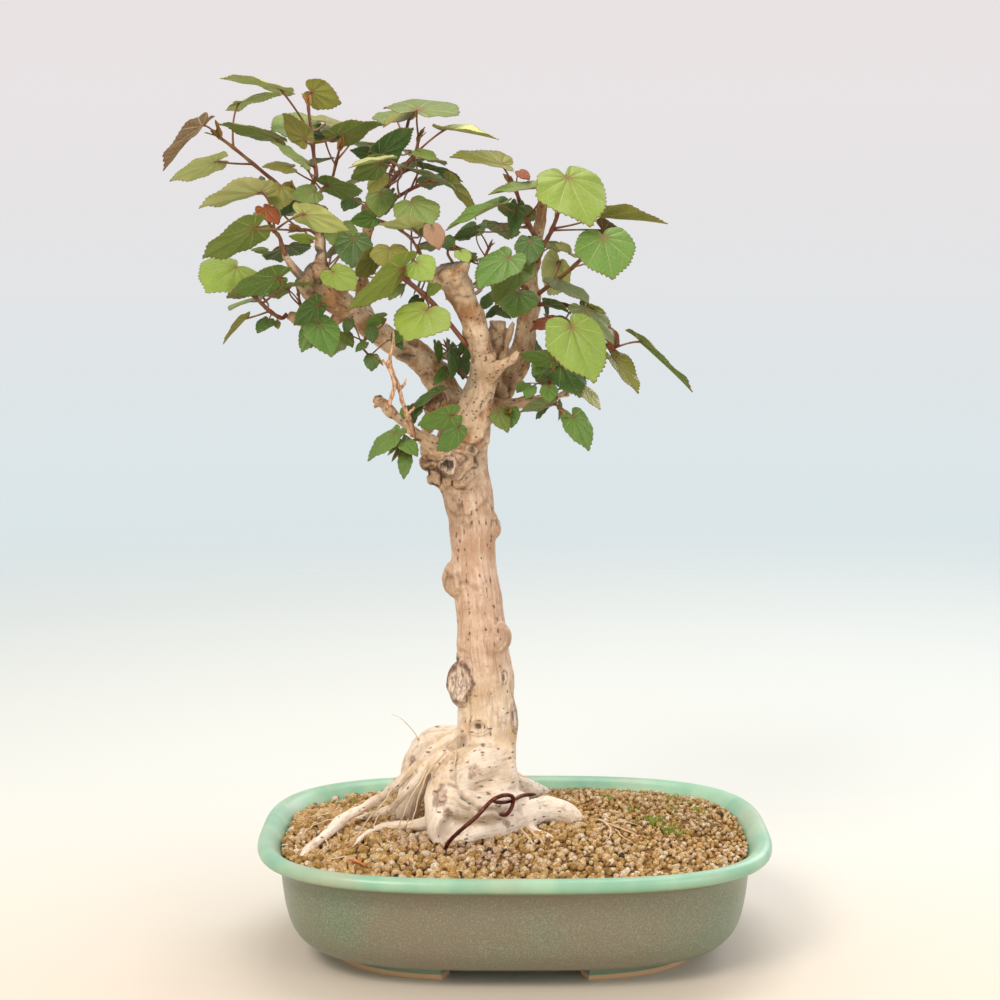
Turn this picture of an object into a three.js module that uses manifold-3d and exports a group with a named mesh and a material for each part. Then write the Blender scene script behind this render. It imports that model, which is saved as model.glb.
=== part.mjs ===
// Sea hibiscus bonsai in a shallow glazed pot. Millimetres, +Z up, front towards -Y.
// Heights are measured down from the rim, which is taken as 60, and the finished group is moved so
// that the origin is the middle of the whole object's box, on the surface that the pot stands on.
import * as THREE from "three";
import { mergeVertices } from "three/addons/utils/BufferGeometryUtils.js";
import Module from "manifold-3d";

const wasm = await Module();
wasm.setup();

// Driving dimensions of the pot.
const potHalfLength = 150;
const potHalfWidth = 112.5;
const rimTop = 60;
const potHeight = 72;
const potBottom = rimTop - potHeight;
const bodyBottom = potBottom + 6;
const floorTop = potBottom + 12;
const rimSquareness = 3.1;
const potSides = 30;
const drainHoleAcross = 62;
const drainHoleRadius = 9;
const drainHoleSides = 14;
const footOuter = [104, 68];
const footInner = [95, 59];
const footSquareness = 2.8;
const footSpread = 0.47;
const screenSize = 30;
const screenThickness = 1.4;
const screenHole = 10;
const screenPitch = 6.5;

// Driving dimensions of the soil.
const soilEdgeHeight = 53.5;
const soilMound = 10;
const soilEdgeInset = 14;
const soilCircles = 7;
const grainRelief = 1.1;
const grainShift = 2.2;

// The roots were pruned flat at this height when the tree was potted.
const rootFloor = 49;

// Facets round the trunk, its limbs and its stalks.
const trunkSides = 11;
const stoutSides = 8;
const thinSides = 5;
const rootSides = 7;
const wireSides = 6;
const stemSides = 4;

// Clearances between pieces that touch.
const seatGap = 0.5;
const barkGap = 0.4;

// Leaves and their stalks.
const bladeThickness = 0.9;
const petioleRadius = 0.8;
const longStalk = 16;
const largeLeaf = 24;
const middlingLeaf = 14.5;
const outlineWidth = 1.12;
const ribPoint = 0.42;
const foldedBelow = 0.8;
const budLength = 5.5;
const budTip = 0.35;

const vec = (x, y, z) => new THREE.Vector3(x, y, z);
const scatter = (seed) => {
  const wave = Math.sin(seed * 12.9898 + 78.233) * 43758.5453;
  return wave - Math.floor(wave);
};

// Joining and cutting.
function solidOf(geometry) {
  const bare = geometry.clone();
  bare.deleteAttribute("normal");
  bare.deleteAttribute("uv");
  const merged = mergeVertices(bare, 1e-4);
  const mesh = new wasm.Mesh({
    numProp: 3,
    vertProperties: new Float32Array(merged.attributes.position.array),
    triVerts: new Uint32Array(merged.index.array),
  });
  return new wasm.Manifold(mesh);
}

// A solid from its corners and triangles, turned right side out if they face inwards.
function solidOfFaces(corners, faces) {
  const vertProperties = new Float32Array(corners.flatMap((p) => [p.x, p.y, p.z]));
  const build = (triangles) => {
    const triVerts = new Uint32Array(triangles.flat());
    return new wasm.Manifold(new wasm.Mesh({ numProp: 3, vertProperties, triVerts }));
  };
  const solid = build(faces);
  return solid.volume() > 0 ? solid : build(faces.map(([i, j, k]) => [i, k, j]));
}

function largestPiece(solid) {
  const pieces = solid.decompose();
  pieces.sort((a, b) => b.volume() - a.volume());
  return pieces[0];
}

function unionOf(solids) {
  return solids.reduce((whole, piece) => whole.add(piece));
}

function meshOf(name, solid, colour, roughness, metalness = 0) {
  const parts = solid.getMesh();
  const geometry = new THREE.BufferGeometry();
  geometry.setAttribute("position", new THREE.BufferAttribute(parts.vertProperties, 3));
  geometry.setIndex(new THREE.BufferAttribute(parts.triVerts, 1));
  geometry.computeVertexNormals();
  const material = new THREE.MeshStandardMaterial({ color: colour, roughness, metalness });
  const mesh = new THREE.Mesh(geometry, material);
  mesh.name = name;
  return mesh;
}

// A closed skin through rings of equal numbers of points, capped flat at both ends.
function skinThrough(rings) {
  const sides = rings[0].length;
  const corners = rings.flat();
  const faces = [];
  for (let r = 0; r + 1 < rings.length; r += 1) {
    for (let i = 0; i < sides; i += 1) {
      const a = r * sides + i;
      const b = r * sides + ((i + 1) % sides);
      faces.push([a, b, b + sides], [a, b + sides, a + sides]);
    }
  }
  const last = (rings.length - 1) * sides;
  for (let i = 1; i + 1 < sides; i += 1) {
    faces.push([0, i + 1, i], [last, last + i, last + i + 1]);
  }
  return solidOfFaces(corners, faces);
}

// A branch, root or stalk: a tapering round limb through points of x, y, z and radius.
function limb(points, sides, grow = 0) {
  const centres = points.map((p) => vec(p[0], p[1], p[2]));
  const rings = [];
  let across = null;
  for (let i = 0; i < centres.length; i += 1) {
    const before = centres[Math.max(i - 1, 0)];
    const after = centres[Math.min(i + 1, centres.length - 1)];
    const along = after.clone().sub(before).normalize();
    if (across === null) {
      const aside = Math.abs(along.y) < 0.8 ? vec(0, -1, 0) : vec(1, 0, 0);
      across = aside;
    }
    across = across.clone().addScaledVector(along, -across.dot(along)).normalize();
    const over = along.clone().cross(across);
    const ring = [];
    for (let k = 0; k < sides; k += 1) {
      const turn = (2 * Math.PI * k) / sides;
      const reach = points[i][3] + grow;
      const point = centres[i].clone();
      point.addScaledVector(across, reach * Math.cos(turn));
      point.addScaledVector(over, reach * Math.sin(turn));
      ring.push(point);
    }
    rings.push(ring);
  }
  if (grow > 0) {
    const start = centres[0].clone().sub(centres[1]).normalize().multiplyScalar(grow);
    const end = centres.at(-1).clone().sub(centres.at(-2)).normalize().multiplyScalar(grow);
    rings[0].forEach((point) => point.add(start));
    rings.at(-1).forEach((point) => point.add(end));
  }
  return skinThrough(rings);
}

// Pot: a squared oval drawn in from the rim by an inset, at a height.
function oval(inset, height, squareness = rimSquareness) {
  const ring = [];
  for (let i = 0; i < potSides; i += 1) {
    const turn = (2 * Math.PI * (i + 0.5)) / potSides;
    const c = Math.cos(turn);
    const s = Math.sin(turn);
    const x = (potHalfLength - inset) * Math.sign(c) * Math.abs(c) ** (2 / squareness);
    const y = (potHalfWidth - inset) * Math.sign(s) * Math.abs(s) ** (2 / squareness);
    ring.push(vec(x, y, height));
  }
  return ring;
}

// Inside of the pot's wall, as inset and height from the floor up.
const innerWall = [
  [41, floorTop],
  [31, 5],
  [24, 15],
  [20.2, 29],
  [18.3, 40],
  [14.6, 50],
];

const outerWall = [
  [39, bodyBottom],
  [32, -4.5],
  [24.5, 1.5],
  [19, 10],
  [15.2, 23],
  [13.2, 41],
  [10.5, 47],
  [3, 51.5],
  [0, 55],
  [1.4, 59],
  [5, rimTop],
  [9.6, 57.4],
];

function footArc(startTurn, endTurn) {
  const steps = 5;
  const rings = [];
  for (let i = 0; i <= steps; i += 1) {
    const turn = startTurn + ((endTurn - startTurn) * i) / steps;
    const c = Math.cos(turn);
    const s = Math.sin(turn);
    const bend = 2 / footSquareness;
    const unitX = Math.sign(c) * Math.abs(c) ** bend;
    const unitY = Math.sign(s) * Math.abs(s) ** bend;
    rings.push([
      vec(footInner[0] * unitX, footInner[1] * unitY, potBottom),
      vec(footOuter[0] * unitX, footOuter[1] * unitY, potBottom),
      vec(footOuter[0] * unitX, footOuter[1] * unitY, bodyBottom + 2),
      vec(footInner[0] * unitX, footInner[1] * unitY, bodyBottom + 2),
    ]);
  }
  return skinThrough(rings);
}

function drainHole(x) {
  const depth = 2 * (floorTop - potBottom);
  const drill = new THREE.CylinderGeometry(drainHoleRadius, drainHoleRadius, depth, drainHoleSides);
  drill.rotateX(Math.PI / 2);
  drill.translate(x, 0, floorTop);
  return solidOf(drill);
}

function makePot() {
  const rings = outerWall.concat([...innerWall].reverse()).map(([inset, height]) => oval(inset, height));
  let body = skinThrough(rings);
  const quarterTurn = Math.PI / 2;
  for (let corner = 0; corner < 4; corner += 1) {
    const middle = quarterTurn * corner + quarterTurn / 2;
    body = body.add(footArc(middle - footSpread, middle + footSpread));
  }
  body = body.subtract(drainHole(drainHoleAcross)).subtract(drainHole(-drainHoleAcross));
  return body;
}

// Drain screens: squares of plastic mesh that lie over the holes in the floor.
function makeScreen(x) {
  const plate = new THREE.BoxGeometry(screenSize, screenSize, screenThickness);
  const height = floorTop + seatGap + screenThickness / 2;
  plate.translate(x, 0, height);
  let screen = solidOf(plate);
  for (const i of [-1, 1]) {
    for (const j of [-1, 1]) {
      const mesh = new THREE.BoxGeometry(screenHole, screenHole, 4 * screenThickness);
      mesh.translate(x + i * screenPitch, j * screenPitch, height);
      screen = screen.subtract(solidOf(mesh));
    }
  }
  return screen;
}

// Trunk: the main stem, from the root ball up to the fork. Points are x, y, z and radius.
const trunkPoints = [
  [-16, 2, 30, 15],
  [-16, 1, 50, 19],
  [-16, 0, 66, 20],
  [-16, 0, 80, 19],
  [-16, 0, 95, 17.8],
  [-16, 0, 110, 17.2],
  [-16, 0, 126, 17.1],
  [-16, 0, 138, 16.2],
  [-17, 0, 153, 15.3],
  [-19, 0, 168, 14.9],
  [-20, 1, 182, 13.8],
  [-21, 2, 194, 13.3],
  [-22, 3, 206, 13.3],
  [-24, 4, 217, 13.3],
  [-25, 4, 229, 13.1],
  [-26, 4, 244, 13.5],
  [-28, 3, 259, 14.6],
  [-31, 2, 271, 15.7],
  [-31, 1, 283, 16],
  [-29, 1, 296, 14],
];

const branches = {
  centre: [
    [-29, -2, 287, 12],
    [-25, -10, 301, 11.8],
    [-22, -13, 312, 11.2],
    [-19, -16, 322, 8.8],
    [-18, -18, 333, 8.4],
    [-20, -20, 344, 8.2],
    [-23, -22, 355, 8.5],
    [-27, -24, 366, 7.9],
    [-32, -26, 376, 8.2],
    [-35, -28, 384, 8.4],
    [-37, -29, 391, 7],
  ],
  left: [
    [-28, 4, 296, 11],
    [-38, 8, 312, 9.9],
    [-47, 8, 327, 8.7],
    [-58, 4, 338, 7.8],
    [-71, -2, 346, 7.5],
    [-84, -8, 355, 7.4],
    [-95, -12, 365, 7.1],
    [-104, -16, 373, 6.8],
    [-111, -18, 381, 7.2],
    [-117, -20, 388, 7],
  ],
  right: [
    [-28, 5, 289, 9],
    [-22, 9, 301, 9.2],
    [-13, 14, 312, 9.2],
    [-3, 19, 323, 8.2],
    [4, 22, 337, 7.3],
    [7, 22, 352, 6.3],
    [10, 20, 369, 5.1],
    [9, 18, 383, 4.5],
    [12, 16, 398, 4.1],
    [14, 14, 410, 3.8],
    [16, 12, 422, 3.6],
    [18, 10, 432, 3.3],
  ],
  middle: [
    [-80, -2, 352, 5.2],
    [-87, 10, 366, 3.8],
    [-88, 19, 384, 3.4],
    [-87, 26, 402, 3.3],
    [-86, 28, 413, 4],
    [-84, 30, 423, 5.2],
  ],
  pale: [
    [-106, -18, 375, 5],
    [-110, -16, 391, 3.8],
    [-111, -14, 401, 3.5],
    [-112, -12, 410, 3.5],
    [-115, -10, 418, 3.6],
    [-118, -8, 424, 4.2],
  ],
  smooth_fork: [
    [-94, -12, 361, 4.6],
    [-106, -20, 368, 4],
    [-115, -26, 374, 3.6],
    [-122, -30, 384, 3.4],
    [-127, -32, 392, 3.1],
    [-130, -33, 398, 2.8],
  ],
  under_stub: [
    [-96, -12, 362, 4.2],
    [-108, -16, 356, 3.4],
    [-119, -20, 357, 2.8],
    [-128, -22, 362, 3],
  ],
  low_right: [
    [-17, 6, 307, 5.4],
    [-1, 0, 309, 4],
    [12, -6, 312, 3.2],
    [23, -12, 315, 2.4],
    [31, -16, 317, 2.2],
  ],
  wound_spur: [
    [-34, -28, 382, 6],
    [-44, -30, 384, 5.2],
    [-51, -31, 385, 4.2],
  ],
  stub: [
    [-17, -18, 325, 4.4],
    [-9, -32, 333, 3.1],
    [-2, -40, 338, 2.5],
    [2, -46, 343, 2.2],
  ],
  broken: [
    [-12, 8, 320, 4.4],
    [-10, 2, 336, 5],
    [-9, -2, 349, 5.6],
    [-9, -4, 357, 5.2],
  ],
  lower_left: [
    [-38, -8, 280, 6],
    [-46, -18, 287, 4.8],
    [-61, -30, 299, 3.7],
    [-70, -38, 309, 3.2],
    [-77, -44, 317, 2.9],
  ],
  twig: [
    [-59, -29, 296, 2.2],
    [-62, -36, 308, 1.5],
    [-66, -40, 320, 1.3],
    [-69, -42, 328, 1.4],
    [-67, -44, 339, 0.9],
    [-68, -44, 352, 0.7],
  ],
};

// Roots, buttress swellings and the roots' ends, which dip into the soil.
const roots = {
  bulb: [
    [-20, 6, 103, 11.5],
    [-37, 12, 105, 10.7],
    [-49, 14, 102, 11.8],
    [-56, 14, 92, 10.6],
    [-60, 12, 81, 9],
    [-64, 12, 68, 8],
    [-64, 12, 54, 7],
  ],
  crossing_upper: [
    [-30, -7, 118, 3.2],
    [-36, -18, 117, 3],
    [-46, -22, 111, 2.8],
    [-55, -24, 104, 2.8],
    [-70, -18, 87, 2.8],
    [-84, -6, 74, 3.1],
    [-99, -8, 66, 3.1],
    [-110, -26, 60, 2.6],
    [-119, -40, 56, 1.8],
    [-123, -48, 52, 1.3],
  ],
  crossing_lower: [
    [-38, -24, 109, 2.5],
    [-51, -28, 101, 2.4],
    [-62, -26, 87, 2.4],
    [-73, -12, 72, 2.3],
    [-86, 2, 64, 2],
    [-97, 8, 58, 1.5],
    [-103, 10, 53, 1.2],
  ],
  side: [
    [-40, -34, 78, 4],
    [-51, -26, 68, 3.2],
    [-62, -18, 63.5, 2.7],
    [-74, -14, 62.5, 2.2],
    [-85, -22, 61, 1.7],
    [-92, -38, 58.5, 1.4],
    [-97, -48, 54, 1.2],
  ],
  thigh_upper: [
    [-8, -6, 101, 13],
    [-20, -18, 101, 13],
    [-33, -25, 97, 12.7],
    [-41, -31, 89, 10.6],
    [-44, -34, 78, 8.5],
    [-43, -34, 60, 6.5],
  ],
  thigh_lower: [
    [-44, -34, 84, 7.6],
    [-34, -39, 83, 9],
    [-20, -37, 79, 9],
    [-6, -26, 77, 8.6],
    [4, -10, 76, 7],
  ],
  front: [
    [-42, -30, 53, 4],
    [-34, -36, 60, 6],
    [-25, -37, 64, 7],
    [-14, -33, 66, 7.8],
    [5, -18, 69, 8.2],
    [17, -8, 70, 7.9],
    [30, -5, 66.5, 6.8],
    [39, -2, 60, 4.6],
    [45, 4, 52, 3],
  ],
  small: [
    [2, -19, 62, 3.8],
    [9, -23, 62.5, 3.4],
    [18, -31, 61, 2.8],
    [26, -37, 57.5, 1.8],
    [31, -41, 53, 1.2],
  ],
  flap: [
    [-38, -38, 80, 5.4],
    [-44, -43, 75, 4.4],
    [-46, -44, 67, 4],
    [-41, -42, 57, 4],
  ],
  back_right: [
    [-9, 14, 84, 10],
    [7, 38, 70, 7],
    [20, 62, 60, 4.2],
    [28, 80, 50, 2.6],
  ],
  back_left: [
    [-28, 20, 84, 10],
    [-42, 44, 70, 7],
    [-58, 64, 59, 4.2],
    [-68, 80, 49, 2.6],
  ],
};

// Swellings, knots and burls on the bark: x, y, z, radius, and how deep they are front to back.
const knots = [
  [-36, 0, 202, 6.6, 0.9],
  [-36, 0, 211, 6, 0.9],
  [-32, -8, 142, 6.4, 0.7],
  [-32, -8, 151, 6.2, 0.7],
  [-10, -8, 173, 7.4, 0.8],
  [-12.5, 2, 233, 4.4, 1],
  [-12.5, 2, 239, 3.6, 1],
  [-41, -4, 268, 8.4, 1],
  [-45, -7, 277, 6.8, 1],
  [-33, -12, 275, 8.4, 0.9],
  [-45, -12, 309, 8, 0.8],
  [-39, -30, 384, 7.4, 1],
  [-112, -20, 383, 8, 0.9],
  [-12, -13, 91, 15, 0.9],
  [-37, -34, 70, 9, 0.9],
  [-20, -20, 86, 9, 1],
];

function knot([x, y, z, radius, depth], grow) {
  const lump = new THREE.OctahedronGeometry(1.08 * radius + grow, 1);
  lump.scale(1, depth, 1.15);
  lump.translate(x, y, z);
  return solidOf(lump);
}

function rootSolids(grow) {
  const thin = ["crossing_upper", "crossing_lower", "side", "small"];
  return Object.entries(roots).map(([name, points]) => {
    return limb(points, thin.includes(name) ? thinSides : rootSides, grow);
  });
}

function branchSolids(grow) {
  const stout = ["centre", "left", "right"];
  return Object.entries(branches).map(([name, points]) =>
    limb(points, stout.includes(name) ? stoutSides : thinSides, grow),
  );
}

function makeTree(grow = 0) {
  const stem = limb(trunkPoints, trunkSides, grow);
  const lumps = knots.map((place) => knot(place, grow));
  const whole = unionOf([stem, ...branchSolids(grow), ...rootSolids(grow), ...lumps]);
  const below = new THREE.BoxGeometry(2 * potHalfLength, 2 * potHalfWidth, potHeight);
  below.translate(0, 0, rootFloor - grow - potHeight / 2);
  return largestPiece(whole.subtract(solidOf(below)));
}

// Soil: fills the pot, domed round the trunk, its surface broken into coarse grains.
function soilHeight(x, y) {
  const nearEdge = Math.hypot(x / (potHalfLength - 18), y / (potHalfWidth - 18));
  const dome = soilMound * Math.max(0, 1 - nearEdge ** 2);
  const backRight = 3.5 * Math.exp(-(((x - 60) / 45) ** 2) - ((y - 45) / 30) ** 2);
  return soilEdgeHeight + dome + backRight;
}

function makeSoil(tree) {
  const rings = innerWall.map(([inset, height]) => oval(inset + seatGap, height + seatGap));
  rings.pop();
  rings.push(oval(soilEdgeInset, soilEdgeHeight));
  for (let c = 1; c < soilCircles; c += 1) {
    const reach = 1 - c / soilCircles;
    const ring = oval(soilEdgeInset, soilEdgeHeight).map((point, i) => {
      const shift = grainShift * (scatter(i * 7 + c * 131) - 0.5);
      const x = point.x * reach + shift;
      const y = point.y * reach + shift;
      return vec(x, y, soilHeight(x, y) + grainRelief * (2 * scatter(i + c * potSides) - 1));
    });
    rings.push(ring);
  }
  let soil = skinThrough(rings);
  for (const x of [drainHoleAcross, -drainHoleAcross]) {
    const side = screenSize + 2 * seatGap;
    const recess = new THREE.BoxGeometry(side, side, 2 * (screenThickness + 3 * seatGap));
    recess.translate(x, 0, floorTop);
    soil = soil.subtract(solidOf(recess));
  }
  return largestPiece(soil.subtract(tree).subtract(makeWire(barkGap)));
}

// Wire: a stiff hook of anodised aluminium that ties the root base down.
const wireRadius = 1.2;
const wirePoints = [
  [-41, -52, 56],
  [-38, -54, 64],
  [-32, -56, 71],
  [-22, -57, 80],
  [-14, -54, 88],
  [-8, -49, 90],
  [-3, -44, 89],
  [-1, -41, 86],
  [-2, -41, 81],
  [-5, -45, 78],
  [-9, -48, 79],
];

function makeWire(grow = 0) {
  const points = wirePoints.map(([x, y, z]) => [x, y, z, wireRadius]);
  return limb(points, wireSides, grow);
}

// Leaf: a heart with a short drip tip and scalloped edge, drawn round the point where its stalk
// joins. Pairs of the angle from the midrib in degrees and the reach as a part of the length.
const outlines = {
  large: [
    [30, 0.8],
    [47, 0.68],
    [66, 0.66],
    [87, 0.52],
    [112, 0.45],
    [140, 0.28],
  ],
  middling: [
    [24, 0.8],
    [52, 0.7],
    [86, 0.55],
    [130, 0.33],
  ],
  little: [
    [26, 0.79],
    [66, 0.62],
    [124, 0.34],
  ],
};

// Where a point of the flat leaf goes once the blade is folded at its rib, arched and drooped.
function bladeHeight(along, aside, folded) {
  const fold = folded ? 0.26 : 0.04;
  const arch = folded ? 0.1 : 0.14;
  const droop = folded ? 0 : 0.3;
  return fold * Math.abs(aside) + arch * along * (1 - along) - droop * aside * aside;
}

function leafFrame(base, tip, roll) {
  const foot = vec(...base);
  const rib = vec(...tip).sub(foot);
  const length = rib.length();
  rib.normalize();
  const sky = vec(0, -0.5, 1);
  const level = sky.addScaledVector(rib, -sky.dot(rib)).normalize();
  const sideways = level.clone().cross(rib);
  const turn = THREE.MathUtils.degToRad(roll);
  const face = level.clone().multiplyScalar(Math.cos(turn));
  face.addScaledVector(sideways, Math.sin(turn));
  const side = face.clone().cross(rib);
  return { foot, rib, side, face, length };
}

function stemPoint(stem, along) {
  const span = Math.min(Math.floor(along), stem.length - 2);
  const from = vec(...stem[span]);
  return from.lerp(vec(...stem[span + 1]), along - span);
}

// The blade's flat outline from one side of its foot round to the other.
function flatRim(length, ratio) {
  const size = length >= largeLeaf ? "large" : length >= middlingLeaf ? "middling" : "little";
  const outline = outlines[size];
  const widen = ratio / outlineWidth;
  const flat = [[0, petioleRadius / length]];
  for (const hand of [1, -1]) {
    const edge = hand > 0 ? [...outline].reverse() : outline;
    edge.forEach(([angle, reach]) => {
      const turn = THREE.MathUtils.degToRad(angle);
      flat.push([reach * Math.cos(turn), hand * reach * Math.sin(turn) * widen]);
    });
    flat.push(hand > 0 ? [1, 0] : [0, -petioleRadius / length]);
  }
  return flat;
}

// One leaf with its stalk. The stalk is a three-sided tube that bows up from the stem, and its end
// is the blade's foot: two corners on the upper face and one on the lower.
function leafSolid(stem, [along, base, tip, roll, ratio]) {
  const { foot, rib, side, face, length } = leafFrame(base, tip, roll);
  const rim = flatRim(length, ratio);
  const folded = ratio < foldedBelow;
  const put = ([onward, aside], half) => {
    const point = foot.clone();
    point.addScaledVector(rib, onward * length);
    point.addScaledVector(side, aside * length);
    return point.addScaledVector(face, bladeHeight(onward, aside, folded) * length + half);
  };
  const half = bladeThickness / 2;
  const under = rim.length;
  const upperRib = 2 * under - 1;
  const lowerRib = 2 * under;
  const corners = rim.map((place) => put(place, half));
  rim.slice(0, -1).forEach((place) => corners.push(put(place, -half)));
  corners[under] = put([0, 0], -half);
  corners.push(put([ribPoint, 0], half), put([ribPoint, 0], -half));
  const below = (i) => under + (i % (under - 1));
  const skin = [[upperRib, 0, under - 1]];
  for (let i = 0; i + 1 < under; i += 1) {
    skin.push([upperRib, i + 1, i], [lowerRib, below(i), below(i + 1)]);
    skin.push([i, i + 1, below(i + 1)], [i, below(i + 1), below(i)]);
  }

  const start = stemPoint(stem, along);
  const gap = start.distanceTo(foot);
  const bow = foot.clone().addScaledVector(rib, -0.25 * gap).addScaledVector(face, -0.2 * gap);
  const curve = new THREE.QuadraticBezierCurve3(foot, bow, start);
  let across = side.clone();
  let last = [under - 1, 0, under];
  for (const part of gap > longStalk ? [0.45, 1] : [1]) {
    const onward = curve.getTangent(part);
    across = across.clone().addScaledVector(onward, -across.dot(onward)).normalize();
    const over = across.clone().cross(onward);
    const ring = [[-0.9, 0.5], [0.9, 0.5], [0, -1]].map(([a, b]) => {
      const point = curve.getPoint(part).addScaledVector(across, a * petioleRadius);
      corners.push(point.addScaledVector(over, b * petioleRadius));
      return corners.length - 1;
    });
    for (let k = 0; k < 3; k += 1) {
      const next = (k + 1) % 3;
      skin.push([last[k], last[next], ring[next]], [last[k], ring[next], ring[k]]);
    }
    last = ring;
  }
  skin.push(last);
  return solidOfFaces(corners, skin);
}

function stemSolid({ thick, stem }) {
  const last = stem.length - 1;
  const stalk = stem.map((point, i) => [...point, thick[0] + ((thick[1] - thick[0]) * i) / last]);
  const [x, y, z] = stem[last];
  const lean = vec(...stem[last]).sub(vec(...stem[last - 1])).normalize();
  stalk.push([x + budLength * lean.x, y + budLength * lean.y, z + budLength * lean.z, budTip]);
  return limb(stalk, stemSides);
}

function makeShoot(shoot, bark) {
  const pieces = [stemSolid(shoot), ...shoot.leaves.map((leaf) => leafSolid(shoot.stem, leaf))];
  return largestPiece(unionOf(pieces).subtract(bark));
}

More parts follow.
